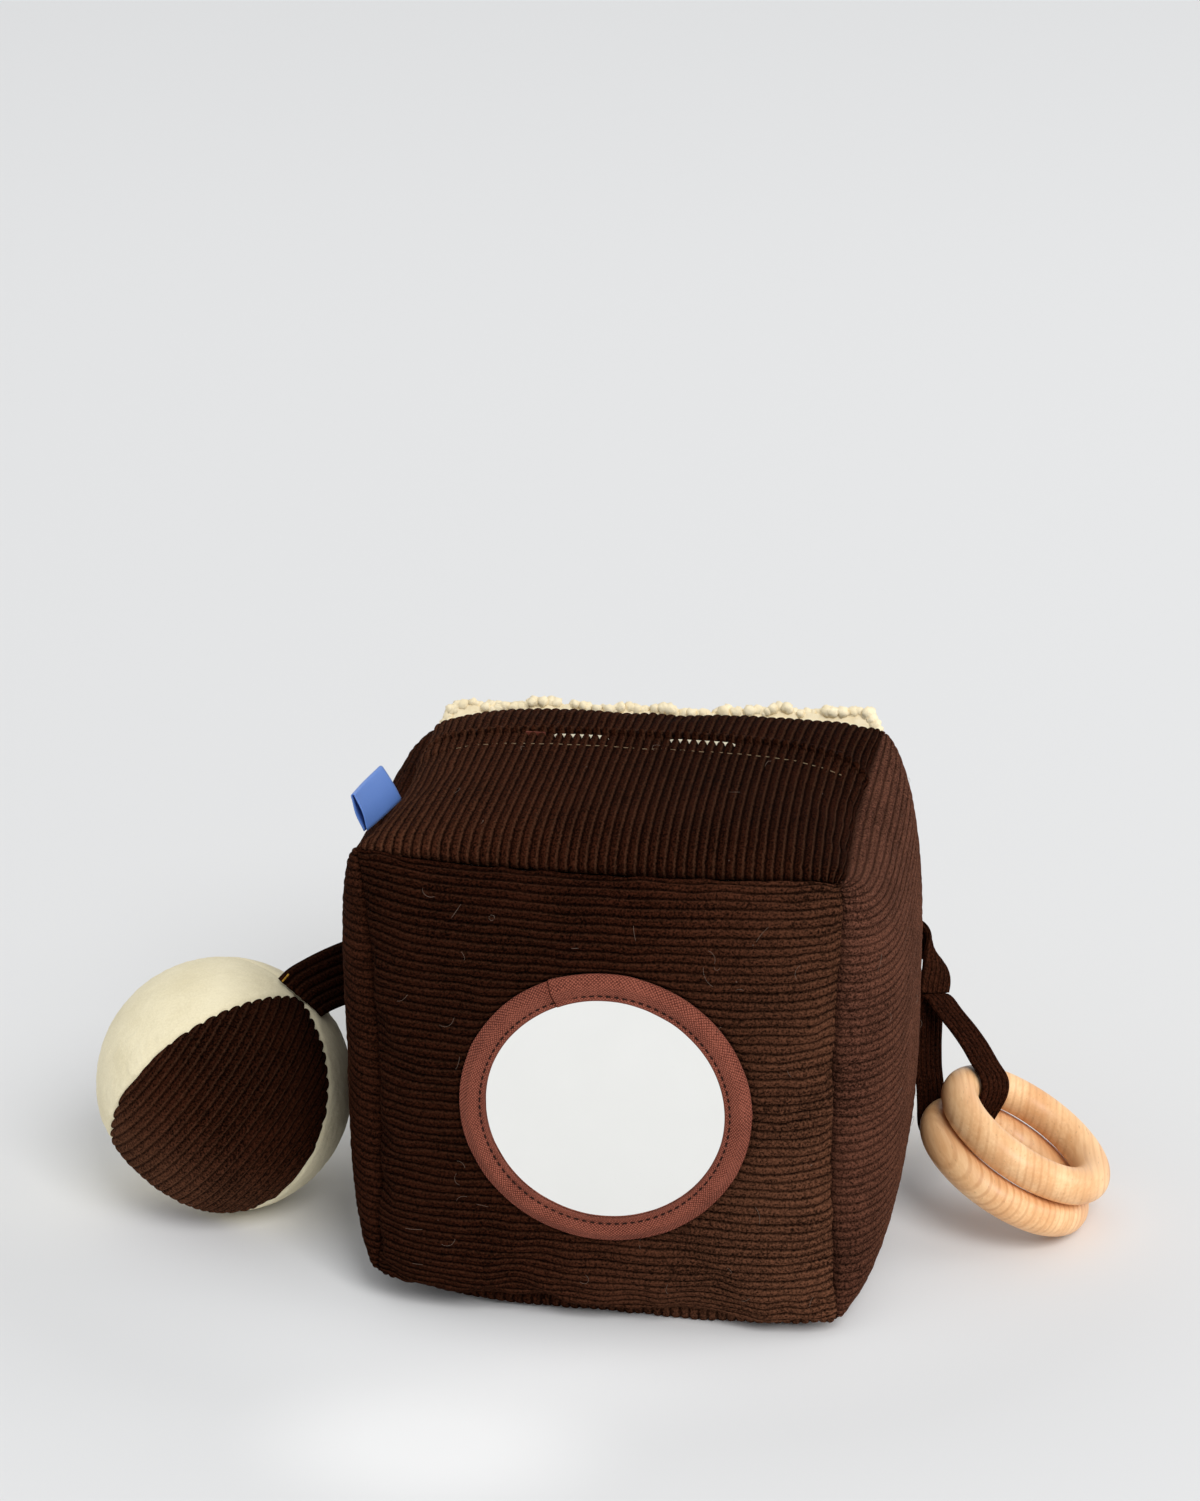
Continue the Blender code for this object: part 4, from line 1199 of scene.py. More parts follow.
def nubs(x, y):
    """Height share of the fleece's nubs at places in metres: broad, coarse and fine ones."""
    height = NUB_LEVEL
    for i, (size, share) in enumerate(NUB_SIZES):
        height = height + share * value_noise(x / size + 30, y / size + 30, 70 + i)
    return height


def sherpa_sheet():
    """The fleece's ground as a woven grid, with its nubs."""
    share = np.sin(np.linspace(-math.pi / 2, math.pi / 2, SHERPA_CELLS + 1))
    share = 0.35 * share + 0.65 * np.linspace(-1, 1, SHERPA_CELLS + 1)
    first, second = np.meshgrid(share, share)
    points = block_surface("back", first, second, SEAM_GAP) + stuffing_push("back", first, second)
    normal = grid_normals(points)
    if normal[SHERPA_CELLS // 2, SHERPA_CELLS // 2][1] < 0:
        normal = -normal
    edge_first = (1 - np.abs(first)) * HALF[0]
    edge_second = (1 - np.abs(second)) * HALF[2]
    seam_tuck("back", points, first, second, edge_first, edge_second)
    free = smooth_share(np.minimum(edge_first, edge_second), 0, SHERPA_TUCK)
    upper = np.exp(-((1 - second) * HALF[2] / SHERPA_LEAN_REACH) ** 2)
    normal = unit_rows(normal + SHERPA_LEAN * upper[..., None] * np.array((0, 0, 1)))
    inner = smooth_share(edge_first, 0.0, SHERPA_SIDE_REACH)
    side_room = inner * (1 - SHERPA_SIDE_PILE) + SHERPA_SIDE_PILE
    pile = SHERPA_PILE * (0.35 + nubs(first * HALF[0], second * HALF[2])) * side_room
    points = points + normal * (pile * free)[..., None]
    points[..., 2] = np.maximum(points[..., 2], SHERPA_CLEAR)
    return points, normal, first, second


def make_back():
    """The fleece and its tufts."""
    points, normal, first, second = sherpa_sheet()
    piece = finish_panel("back_fleece", points, second * 50, first * 50, grid_faces_out(points, "back"))
    dress(piece, "block", SHERPA, "sherpa", "back_panel")
    random = np.random.default_rng(5)
    tufts = add_primitive(bpy.ops.mesh.primitive_ico_sphere_add, "back_tufts", subdivisions=2, radius=1)
    ball = read_points(tufts.data)
    faces = np.array([face.vertices for face in tufts.data.polygons])
    count = SHERPA_CELLS + 1
    all_points = []
    for _ in range(TUFT_COUNT):
        row = int(random.integers(4, count - 3))
        if random.random() < TOP_TUFTS_SHARE:
            row = count - 2 - int(random.integers(0, TOP_TUFT_ROWS))
        column = int(random.integers(3, count - 3))
        size = TUFT_RADIUS * random.uniform(*TUFT_SIZES)
        rough = 1 + TUFT_ROUGHNESS * random.uniform(-1, 1, (len(ball), 1))
        tuft = points[row, column] + normal[row, column] * size * TUFT_LIFT + ball * rough * size
        if tuft[:, 2].min() > TUFT_CLEAR:
            all_points.append(tuft)
    shifts = np.arange(len(all_points))[:, None, None] * len(ball)
    tufts.data.clear_geometry()
    tufts.data.from_pydata(np.concatenate(all_points), [], (faces[None] + shifts).reshape(-1, 3).tolist())
    tufts.data.shade_smooth()
    dress(tufts, "block", SHERPA, "sherpa")


make_back()

# %% [markdown]
# Stitches are short capsules of thread that lie on the cloth and dip into it at both ends. One is
# modelled from a cylinder and copied along each seam line, each a few dozen faces.

# %% Stitches
STITCH_RADIUS = 0.00014


def stitch_line(name, places, normals, length, radius, finish, body, material_slot, lift=0.0):
    """A row of stitches at places along a path, each turned along it."""
    select_only()
    bpy.ops.mesh.primitive_cylinder_add(vertices=8, radius=radius, depth=length)
    model = bpy.context.object
    apply_modifier(model, "BEVEL", width=radius * 0.7, segments=2, limit_method="ANGLE")
    made = []
    for i, (place, normal) in enumerate(zip(places, normals)):
        before = places[max(i - 1, 0)]
        after = places[min(i + 1, len(places) - 1)]
        along = Vector(after - before).normalized()
        up = Vector(normal)
        up = (up - along * up.dot(along)).normalized()
        turn = Matrix((along.cross(up), up, along)).transposed().to_4x4()
        turn.translation = Vector(place) + up * lift
        copy = add_object("stitch", model.data.copy())
        copy.data.transform(turn)
        made.append(copy)
    bpy.data.objects.remove(model)
    select_only(made[0])
    for stitch in made:
        stitch.select_set(True)
    bpy.ops.object.join()
    row = bpy.context.object
    row.name = name
    row.data.shade_smooth()
    dress(row, body, finish, material_slot)
    return row


def walk(path, step):
    """Places a step apart along a path of points, with the places' shares of its samples."""
    length = length_up_to(path)
    return np.interp(np.arange(step / 2, length[-1], step), length, np.arange(len(path)))


def at_samples(values, samples):
    """Values of an array between its rows."""
    low = np.floor(samples).astype(int)
    high = np.minimum(low + 1, len(values) - 1)
    share = (samples - low)[:, None]
    return values[low] * (1 - share) + values[high] * share


TOP_STITCH_STEP = 0.0031
TOP_STITCH_LENGTH = 0.0016


def top_stitches(name, panel, from_slit, low_x, high_x, side, finish):
    """A row of stitches on a top panel, some way from the slit."""
    points, normal, first, _ = WOVEN[panel]
    path = []
    ups = []
    for row in range(points.shape[0]):
        x = points[row, points.shape[1] // 2, 0]
        if not low_x < x < high_x:
            continue
        wanted = slit_line(first[row, 0]) - side * from_slit
        order = np.argsort(points[row, :, 1])
        y = points[row, order, 1]
        path.append([np.interp(wanted, y, points[row, order, i]) for i in range(3)])
        ups.append([np.interp(wanted, y, normal[row, order, i]) for i in range(3)])
    path = np.array(path)
    kernel = np.ones(15) / 15
    path[:, 2] = np.convolve(np.pad(path[:, 2], 7, mode="edge"), kernel, mode="valid")
    samples = walk(path, TOP_STITCH_STEP)
    stitch_line(name, at_samples(path, samples), at_samples(np.array(ups), samples), TOP_STITCH_LENGTH,
                STITCH_RADIUS, finish, "block", "lining", 0.0001)


top_stitches("slit_stitches_front", "top_front_cloth", HEM_WIDTH_FRONT - STITCH_INSET, -0.062, 0.068, 1,
             CREAM_THREAD)
top_stitches("slit_stitches_rear", "top_rear_cloth", HEM_WIDTH_REAR - STITCH_INSET, -0.062, 0.066, -1,
             DARK_THREAD)

# %% [markdown]
# The mirror is a disc of stiff film. A real film is never quite flat, so the disc's face is inset into
# rings, and their points are waved by a few hundredths of a millimetre.

# %% Mirror
MIRROR_RADIUS = 0.0405
MIRROR_THICKNESS = 0.0012
FILM_RINGS = 10
FILM_RING_WIDTH = MIRROR_RADIUS / 12
FILM_WAVE = 0.00006
FILM_WAVE_SIZE = 0.022
MIRROR_BACK_Y = -(HALF[1] + MIRROR_SEAT + SEAM_GAP)
MIRROR_PLACE = Matrix.Translation((MIRROR_X, MIRROR_BACK_Y, MIRROR_Z)) @ Matrix.Rotation(math.pi / 2, 4, "X")
BINDING_INNER = 0.0380
BINDING_OUTER = 0.0465
BINDING_THICKNESS = 0.0012
BINDING_STEPS = 240
BINDING_JOIN = math.radians(112.6)
BINDING_LAP = math.radians(16)
BINDING_LAP_HEIGHT = 0.0006
BINDING_LAP_WIDTH = 0.0003
BINDING_DIP = 0.0007
BINDING_DIP_WIDTH = 0.012
BINDING_ROUND = 0.0006
BINDING_LIFT = 0.0001
BINDING_NOISE_SIZE = 0.006
BINDING_UNEVEN = 0.00012
BINDING_EDGE_UNEVEN = 0.00009
BINDING_GROOVE_WIDTH = 0.00055
BINDING_PUFF = 0.0004
BINDING_GROOVE = 0.0005
TWILL_THREAD = 0.0007
BINDING_STITCH_RADIUS = 0.0397
BINDING_STITCH_STEP = 0.0026
BINDING_STITCH_LENGTH = 0.0014
BINDING_THREAD_RADIUS = 0.00030


def make_mirror():
    """The mirror film."""
    disc = add_primitive(bpy.ops.mesh.primitive_cylinder_add, "mirror_film", vertices=128,
                         radius=MIRROR_RADIUS, depth=MIRROR_THICKNESS, location=(0, 0, MIRROR_THICKNESS / 2))
    bpy.ops.object.transform_apply(location=True, rotation=True, scale=True)
    edit_top(disc)
    for _ in range(FILM_RINGS):
        bpy.ops.mesh.inset(thickness=FILM_RING_WIDTH, depth=0)
    leave_edit()
    for vert in disc.data.vertices:
        if vert.co.z > MIRROR_THICKNESS / 2:
            spot = np.array(vert.co.x / FILM_WAVE_SIZE + 9), np.array(vert.co.y / FILM_WAVE_SIZE + 9)
            vert.co.z += FILM_WAVE * float(value_noise(*spot, 41))
    disc.data.transform(MIRROR_PLACE)
    disc.data.set_sharp_from_angle(angle=math.radians(40))
    dress(disc, "block", MIRROR_FILM, "mirror", "mirror_disc")


make_mirror()

# %% [markdown]
# A strip of twill is sewn over the mirror's rim. Its profile is spun round the mirror's axis, then its
# points are moved: the strip is a little uneven, the stitches press a groove into it, and one end laps
# over the other near the top.

# %% Mirror binding
def binding_profile():
    """The strip's outline from its inner foot over its top to its outer foot, as (radius, height)."""
    step = MIRROR_THICKNESS + SEAM_GAP
    top = step + BINDING_THICKNESS
    outline = []
    for angle in np.linspace(math.pi, math.pi / 2, 5):
        outline.append((BINDING_INNER + BINDING_ROUND + BINDING_ROUND * math.cos(angle),
                        top - BINDING_ROUND + BINDING_ROUND * math.sin(angle)))
    for share in np.linspace(0, 1, 17)[1:]:
        radius = BINDING_INNER + BINDING_ROUND + share * (BINDING_OUTER - BINDING_INNER - BINDING_ROUND)
        fall = smooth_share(share, 0.55, 1.0)
        puff = BINDING_PUFF * math.sin(math.pi * float(smooth_share(share, 0.12, 1.0)))
        outline.append((radius, top * (1 - fall) + BINDING_THICKNESS / 2 * fall + puff))
    outline.append((BINDING_OUTER, BINDING_LIFT))
    outline.append((MIRROR_RADIUS + SEAM_GAP, BINDING_LIFT))
    outline.append((MIRROR_RADIUS + SEAM_GAP, step))
    outline.append((BINDING_INNER, step))
    return outline


def make_binding():
    """The twill strip round the mirror."""
    profile = binding_profile()
    profile.append(profile[0])
    join = BINDING_JOIN + np.array((-0.004, 0.0, 0.001, 0.008, 0.016))
    angles = np.sort(np.concatenate((np.linspace(0, 2 * math.pi, BINDING_STEPS + 1), join)))
    past = angles - BINDING_JOIN
    dip = np.where((past > 0) & (past < BINDING_DIP_WIDTH), BINDING_DIP, 0.0)
    points = np.zeros((len(profile), len(angles), 3))
    for i, (radius, height) in enumerate(profile):
        lap = (BINDING_JOIN - angles) % (2 * math.pi)
        over = np.where(lap < BINDING_LAP, 1 - smooth_share(lap, 0, BINDING_LAP), 0.0)
        upper = height > MIRROR_THICKNESS * 0.3
        round_place = angles * radius / BINDING_NOISE_SIZE + 10
        uneven = value_noise(round_place, np.full_like(angles, 5.0 + i * 0.15), 51)
        uneven[-1] = uneven[0]
        raised = height + (BINDING_LAP_HEIGHT * over if upper else 0)
        if upper and 2 < i < 20:
            raised = raised + BINDING_UNEVEN * uneven - dip
            groove = math.exp(-((radius - BINDING_STITCH_RADIUS) / BINDING_GROOVE_WIDTH) ** 2)
            raised = raised - BINDING_GROOVE * groove
        spread = radius + (BINDING_EDGE_UNEVEN * uneven if 14 < i < 22 or i < 3 else 0)
        if i > 14:
            spread = spread + BINDING_LAP_WIDTH * over ** 3
        points[i, :, 0] = spread * np.cos(angles)
        points[i, :, 1] = spread * np.sin(angles)
        points[i, :, 2] = raised
    threads = angles * BINDING_OUTER / TWILL_THREAD
    number, length = np.meshgrid(np.arange(len(profile)), threads, indexing="ij")
    ring = grid_piece("binding_strip", points, number, length, closed=True)
    face_outward(ring)
    ring.data.transform(MIRROR_PLACE)
    dress(ring, "block", TWILL, "binding", "mirror_binding")


def binding_stitches():
    """Dark stitches just outside the strip's inner edge."""
    radius = BINDING_STITCH_RADIUS
    top = MIRROR_THICKNESS + SEAM_GAP + BINDING_THICKNESS - BINDING_GROOVE + 0.0002
    angles = np.linspace(0, 2 * math.pi, 721)
    path = np.stack((radius * np.cos(angles), radius * np.sin(angles), np.full_like(angles, top)), axis=-1)
    samples = walk(path, BINDING_STITCH_STEP)
    places = at_samples(path, samples)
    places = np.array([MIRROR_PLACE @ Vector(p) for p in places])
    normals = np.tile(np.array((0.0, -1.0, 0.0)), (len(places), 1))
    stitch_line("binding_stitches", places, normals, BINDING_STITCH_LENGTH, BINDING_THREAD_RADIUS,
                DARK_THREAD, "block", "binding")


make_binding()
binding_stitches()

# %% [markdown]
# The label is a satin ribbon folded in two and caught in the left top seam. The fold is a loop of a
# grid: up one ply, round the top and down the other. The ribbon bows a little, so it isn't a stiff
# plate. It stays bare.

# %% Label
LABEL_FRONT = np.array((-0.07652, -0.046, 0.156119))
LABEL_REAR = np.array((-0.072322, -0.014, 0.154862))
LABEL_REACH = 0.0135
LABEL_LEAN = 0.0045
LABEL_HALF = 0.00055
LABEL_PLY = 0.00035
LABEL_BOW = 0.0006
LABEL_PARTING = 1.1
LABEL_TWIST = 0.0026
LABEL_SEWN = 0.05


def make_label():
    """The folded ribbon."""
    up = unit_vector(np.array((-LABEL_LEAN, 0, LABEL_REACH)))
    out = np.array((-up[2], 0, up[0]))
    around = [(-LABEL_HALF, share * (LABEL_REACH - LABEL_HALF)) for share in np.linspace(LABEL_SEWN, 1, 14)]
    for angle in np.linspace(math.pi, 0, 9)[1:-1]:
        around.append((LABEL_HALF * math.cos(angle), LABEL_REACH - LABEL_HALF + LABEL_HALF * math.sin(angle)))
    around += [(LABEL_HALF, share * (LABEL_REACH - LABEL_HALF)) for share in np.linspace(1, LABEL_SEWN, 14)]
    lengths = np.linspace(0, 1, 33)
    points = np.zeros((len(lengths), len(around), 3))
    for i, share in enumerate(lengths):
        base = settle(LABEL_FRONT + (LABEL_REAR - LABEL_FRONT) * share)
        for j, (a, b) in enumerate(around):
            bow = LABEL_BOW * math.sin(share * math.pi * 1.15) * (b / LABEL_REACH)
            twist = LABEL_TWIST * share * (b / LABEL_REACH) ** 1.5
            part = 1 + LABEL_PARTING * (1 - share) ** 3 * math.sin(b / LABEL_REACH * math.pi) ** 2
            points[i, j] = base + out * (a * part + bow + twist) + up * b
    across, along = np.meshgrid(lengths * 10, np.linspace(0, 8, len(around)), indexing="ij")
    ribbon = grid_piece("label_ribbon", points, across, along)
    apply_modifier(ribbon, "SOLIDIFY", thickness=LABEL_PLY, offset=0.0)
    face_outward(ribbon)
    dress(ribbon, "label", SATIN, "label", "side_label")


make_label()

# %% [markdown]
# The ball is four gores sewn from pole to pole, one of corduroy and three of velour. On a gore the
# wales run straight from pole to pole beside its middle line. So the grid's rows are lines at a fixed
# distance from that line, and each row ends at the seams on a slant, which gives the stepped edge that
# the photograph shows.

# %% Ball shape
BALL_RADIUS = 0.0425
BALL_X = -0.1390
BALL_Y = -0.0010
BALL_POLE = Vector((0.620, 0.036, 0.784)).normalized()
BALL_AIM = Vector((0.17, -0.97, 0))
BALL_GIRTH = 1.02
BALL_FLAT_START = 0.72
BALL_FLAT_SQUASH = 0.62
WIDE_SPREAD = math.radians(96)
NARROW_SPREAD = math.radians(84)
GORE_SEAM_REACH = 0.0013
GORE_SEAM_DEPTH = 0.0009
GORE_LAP = 0.0006
GORE_RIB = 0.85
GORE_SEAM_RIB = 0.45
GORE_PUCKER = 0.00030
GORE_PUCKER_STEP = 0.0045
GORE_PUCKER_REACH = 0.004
GORE_COLUMNS = 91
VELOUR_BANDS = 36
VELOUR_ROWS = 121
VELOUR_UNEVEN = 0.00014
POLE_HOLE = 0.0012


def stuffed_ball(direction):
    """Places on the ball for directions in its own frame, with its pole along Z."""
    points = direction * BALL_RADIUS
    points = points * np.array((BALL_GIRTH, BALL_GIRTH, 1.0))
    flat = -BALL_FLAT_START * BALL_RADIUS
    low = points[..., 2] < flat
    points[..., 2] = np.where(low, flat + (points[..., 2] - flat) * BALL_FLAT_SQUASH, points[..., 2])
    return points


def ball_turn():
    """The ball's own axes as the rows of a matrix."""
    aim = (BALL_AIM - BALL_POLE * BALL_AIM.dot(BALL_POLE)).normalized()
    side = BALL_POLE.cross(aim)
    return np.array((aim, side, BALL_POLE))


BALL_AXES = ball_turn()


def ball_rest_height():
    """How high the ball's middle lies when the ball touches the floor."""
    tilt, spin = np.meshgrid(np.linspace(0, math.pi, 91), np.linspace(0, 2 * math.pi, 90, endpoint=False))
    direction = np.stack((np.sin(tilt) * np.cos(spin), np.sin(tilt) * np.sin(spin), np.cos(tilt)), axis=-1)
    return -float((stuffed_ball(direction) @ BALL_AXES)[..., 2].min())


BALL_MIDDLE = np.array((BALL_X, BALL_Y, ball_rest_height()))
print("ball middle", BALL_MIDDLE.round(5))


def gore_grid(spread, rows, columns, lap):
    """Directions of a gore's grid about +X, with each point's distance from its seams.

    Each row passes over its seams by its own lap.
    """
    half = spread / 2
    beta = rows[:, None]
    tilt = np.arcsin(np.clip(np.sin(np.abs(beta)) / math.sin(half), 0, 1))
    start = np.arctan2(np.sin(tilt) * math.cos(half), np.cos(tilt)) - lap[:, None] / BALL_RADIUS
    start = np.maximum(start, POLE_HOLE / BALL_RADIUS)
    run = start + (math.pi - 2 * start) * columns[None, :]
    beta = beta + 0 * run
    direction = np.stack((np.cos(beta) * np.sin(run), np.sin(beta), np.cos(beta) * np.cos(run)), axis=-1)
    spin = np.abs(np.arctan2(direction[..., 1], direction[..., 0]))
    ring = np.hypot(direction[..., 0], direction[..., 1])
    edge = BALL_RADIUS * np.arcsin(np.clip(ring * np.sin(np.maximum(half - spin, 0)), 0, 1))
    return direction, edge, beta, run


def turn_about_pole(direction, angle):
    """Turn directions about the ball's pole."""
    cosine, sine = math.cos(angle), math.sin(angle)
    turned = direction.copy()
    turned[..., 0] = direction[..., 0] * cosine - direction[..., 1] * sine
    turned[..., 1] = direction[..., 0] * sine + direction[..., 1] * cosine
    return turned


def make_gore(name, angle, spread, brown, node):
    """One gore of the ball, brown corduroy or cream velour."""
    half_width = BALL_RADIUS * spread / 2
    if brown:
        count = round(2 * half_width / WALE_PITCH)
        numbers = wale_numbers(count)
    else:
        count = VELOUR_BANDS
        numbers = np.linspace(0, count, VELOUR_ROWS)
    rows = (numbers / count - 0.5) * spread
    even = np.linspace(0, 1, GORE_COLUMNS)
    columns = (1 - np.cos(np.linspace(0, math.pi, GORE_COLUMNS))) / 2 * 0.35 + even * 0.65
    lap = GORE_LAP * wale_height(numbers) if brown else numbers * 0
    direction, edge, beta, run = gore_grid(spread, rows, columns, lap)
    outward = turn_about_pole(direction, angle)
    points = stuffed_ball(outward)
    number = np.repeat(numbers[:, None], len(columns), axis=1)
    length = run * BALL_RADIUS / WALE_PITCH
    if brown:
        height = (WALE_HEIGHT * GORE_RIB + wale_tufts(number, length, 18)) * wale_height(number)
        depth = GORE_SEAM_DEPTH * (1 - GORE_SEAM_RIB * wale_height(number))
    else:
        height = VELOUR_UNEVEN * value_noise(beta * 28 + 9, run * 28 + 9, 61)
        depth = GORE_SEAM_DEPTH
    pucker = value_noise(run * BALL_RADIUS / GORE_PUCKER_STEP + 7, np.sign(beta) * 3 + 7, 62)
    height = height + GORE_PUCKER * pucker * np.exp(-edge / GORE_PUCKER_REACH)
    height = height - depth * np.exp(-(edge / GORE_SEAM_REACH) ** 2)
    points = points + outward * height[..., None]
    points = points @ BALL_AXES + BALL_MIDDLE
    points[..., 2] = np.maximum(points[..., 2], FLOOR_CLEAR)
    piece = grid_piece(name, points, number, length, closed=True)
    middle = Vector(points[len(rows) // 2, len(columns) // 2] - BALL_MIDDLE)
    facing = min(piece.data.polygons, key=lambda f: (f.center - Vector(BALL_MIDDLE) - middle).length)
    if facing.normal.dot(middle) < 0:
        piece.data.flip_normals()
    apply_modifier(piece, "SOLIDIFY", thickness=CLOTH_THICKNESS, offset=-1.0)
    piece.data.shade_smooth()
    dress(piece, "ball", CORDUROY_BALL if brown else VELOUR, "corduroy" if brown else "velour", node)


for gore_name, gore_angle, gore_spread, is_brown in (
        ("front", 0, WIDE_SPREAD, True), ("right", math.pi / 2, NARROW_SPREAD, False),
        ("rear", math.pi, WIDE_SPREAD, False), ("left", -math.pi / 2, NARROW_SPREAD, False)):
    make_gore("ball_cloth_" + gore_name, gore_angle, gore_spread, is_brown, "ball_gore_" + gore_name)

# %% [markdown]
# Straps are strips of corduroy sewn flat, with their wales lengthwise. A strap is a tube: a flat
# cross-section with ribs on both faces, carried along a smooth curve. The curve is the one that the
# solid follows, so the strap leaves the seam and meets the ball or the rings at the same places.

# %% Strap cross-section
STRAP_WIDTH = 0.0175
STRAP_THICKNESS = 0.0024
STRAP_WALES = 6
STRAP_WALE_HEIGHT = 0.0005
STRAP_EDGE_POWER = 5
STRAP_SLACK = 0.0004
STRAP_SLACK_STEP = 0.014
STILL_STATIONS = 8
CUP_STATIONS = 12


def strap_section(width, front, rear):
    """The strap's outline as (across, through, wale number), round its two ribbed faces."""
    outline = []
    for side, half in ((1, front), (-1, rear)):
        for number in wale_numbers(STRAP_WALES)[::side]:
            share = number / STRAP_WALES * 2 - 1
            edge = math.sqrt(max(1 - abs(share) ** STRAP_EDGE_POWER, 0))
            rib = 0
            if 0 < number < STRAP_WALES:
                rib = STRAP_WALE_HEIGHT * (wale_height(number) - 1)
            outline.append((-share * width / 2, side * (half + rib) * edge, number))
    return outline


def sweep_strap(name, places, acrosses, widths, halves, closed, cup=None):
    """Carry the cross-section along a path.

    halves holds the two half thicknesses at each place. cup is the radius of the round that the last
    end fits over.
    """
    count = len(places)
    points = []
    numbers = []
    lengths = []
    travelled = 0.0
    for i in range(count):
        if closed:
            along = places[(i + 1) % (count - 1)] - places[(i - 1) % (count - 1)]
        else:
            along = places[min(i + 1, count - 1)] - places[max(i - 1, 0)]
        along = unit_vector(along)
        across = unit_vector(acrosses[i] - along * np.dot(acrosses[i], along))
        through = np.cross(along, across)
        if i:
            travelled += np.linalg.norm(places[i] - places[i - 1])
        stretch = travelled / STRAP_SLACK_STEP + np.array(len(name))
        slack = STRAP_SLACK * value_noise(stretch, np.array(4.5), 95)
        ends = 1.0
        if not closed:
            ends = float(smooth_share(i, 0, STILL_STATIONS) * smooth_share(count - 1 - i, 0, STILL_STATIONS))
        shift = through * float(slack) * ends
        section = strap_section(widths[i], *halves[i])
        section.append(section[0])
        reach = float(smooth_share(i, count - CUP_STATIONS, count - 1)) if cup else 0.0
        row = []
        for a, b, _ in section:
            hug = (cup - math.sqrt(max(cup * cup - b * b, 0))) * reach if cup else 0.0
            row.append(places[i] + across * a + through * b + along * hug + shift)
        points.append(row)
        numbers.append([n for _, _, n in section])
        lengths.append([travelled / WALE_PITCH] * len(section))
    if closed:
        points[-1] = points[0]
    piece = grid_piece(name, np.array(points), np.array(numbers), np.array(lengths), closed=True)
    if not closed:
        edit(piece)
        bpy.ops.mesh.select_all(action="DESELECT")
        bpy.ops.mesh.select_non_manifold()
        bpy.ops.mesh.edge_face_add()
        leave_edit()
    face_outward(piece)
    piece.data.set_sharp_from_angle(angle=math.radians(70))
    return piece


def bezier(points, share):
    """Places on a cubic curve."""
    a, b, c, d = points
    s = share[:, None]
    return a * (1 - s) ** 3 + 3 * b * (1 - s) ** 2 * s + 3 * c * (1 - s) * s ** 2 + d * s ** 3


# %% Ball strap
STRAP_LEAVE = math.radians(23)
BALL_STRAP_ROOT = np.array((-0.074001, 0.065047, 0.064305))
BALL_STRAP_ROOT_WIDTH = 0.0230
BALL_STRAP_END_WIDTH = 0.0195
BALL_STRAP_OUT = 0.0160
BALL_STRAP_RISE = 0.0085
STRAP_STATIONS = 70
TACK_LENGTH = 0.0016
TACK_RADIUS = 0.00034
TACK_INSET = 0.0016
TACK_STEP = 0.0010
TACK_SINK = 0.0001
TACK_FROM_END = 0.0018


def make_ball_strap():
    """The strap from the left rear seam to the ball's pole."""
    pole = np.array(BALL_POLE)
    neck = BALL_MIDDLE + pole * (BALL_RADIUS + SEAM_GAP)
    leaving = np.array((-math.cos(STRAP_LEAVE), math.sin(STRAP_LEAVE), 0))
    curve = (BALL_STRAP_ROOT, BALL_STRAP_ROOT + leaving * BALL_STRAP_OUT, neck + pole * BALL_STRAP_RISE, neck)
    share = np.linspace(0, 1, STRAP_STATIONS)
    places = bezier(curve, share)
    ease = smooth_share(share, 0, 1)
    down = np.array((0.0, 0.0, -1.0))
    facing = unit_vector(down - pole * np.dot(down, pole))
    acrosses = down * (1 - ease[:, None]) + facing * ease[:, None]
    widths = BALL_STRAP_ROOT_WIDTH + (BALL_STRAP_END_WIDTH - BALL_STRAP_ROOT_WIDTH) * ease
    halves = [(STRAP_THICKNESS / 2, STRAP_THICKNESS / 2)] * STRAP_STATIONS
    strap = sweep_strap("ball_strap_cloth", places, acrosses, widths, halves, False)
    dress(strap, "ball_strap", CORDUROY_STRAP, "corduroy", "ball_strap")
    through = np.cross(pole, facing)
    through = -through * np.sign(through[1])
    corner = neck - facing * (BALL_STRAP_END_WIDTH / 2 - TACK_INSET)
    corner = corner + through * (STRAP_THICKNESS / 2 - TACK_SINK)
    rows = np.array([corner + pole * (TACK_FROM_END + TACK_STEP * i) for i in range(3)])
    stitch_line("ball_strap_tack", rows, np.tile(through, (3, 1)), TACK_LENGTH, TACK_RADIUS, MUSTARD_THREAD,
                "ball_strap", "corduroy")


make_ball_strap()

# %% [markdown]
# The rings hang in a loop of the same strap. The loop is a belt round the two ring sections and the
# point where the strap's two ends are sewn together, and a thicker stem goes from there to the block.

# %% Rings' places
RING_OUTER_DIAMETER = 0.0650
RING_SECTION = 0.0125
RING_RADIUS = (RING_OUTER_DIAMETER - RING_SECTION) / 2
RING_AXIS = unit_vector(np.array((0.510, 0.050, 0.859)))
RING_PLACE_X = 0.1230
RING_PLACE_Y = 0.0215
RING_STACK_GAP = 0.0004
RING_STACK_SHIFT = 0.0020
LOOP_ANGLE = math.radians(-33)
LOOP_CLEARANCE = 0.0022
LOOP_THROAT_RADIUS = 0.0026
LOOP_THROAT_OUT = 0.0285
LOOP_THROAT_UP = 0.0120
LOOP_STATIONS = 121
LOOP_SOFTNESS = 1.9
LOOP_BOW = 0.0004
BOW_START = (0.005, 0.015)
BOW_END = (0.021, 0.030)
BELT_STEPS = 16
LOOP_STEM_ANGLE = math.radians(55)
LOOP_STEM_GAP = 0.00005
STEM_THICKNESS = 0.0036
STEM_FLARE = 0.0014
STEM_THIN = 0.0008
FLARE_SPAN = (0.72, 0.97)
STEM_END_WIDTH = 0.0182
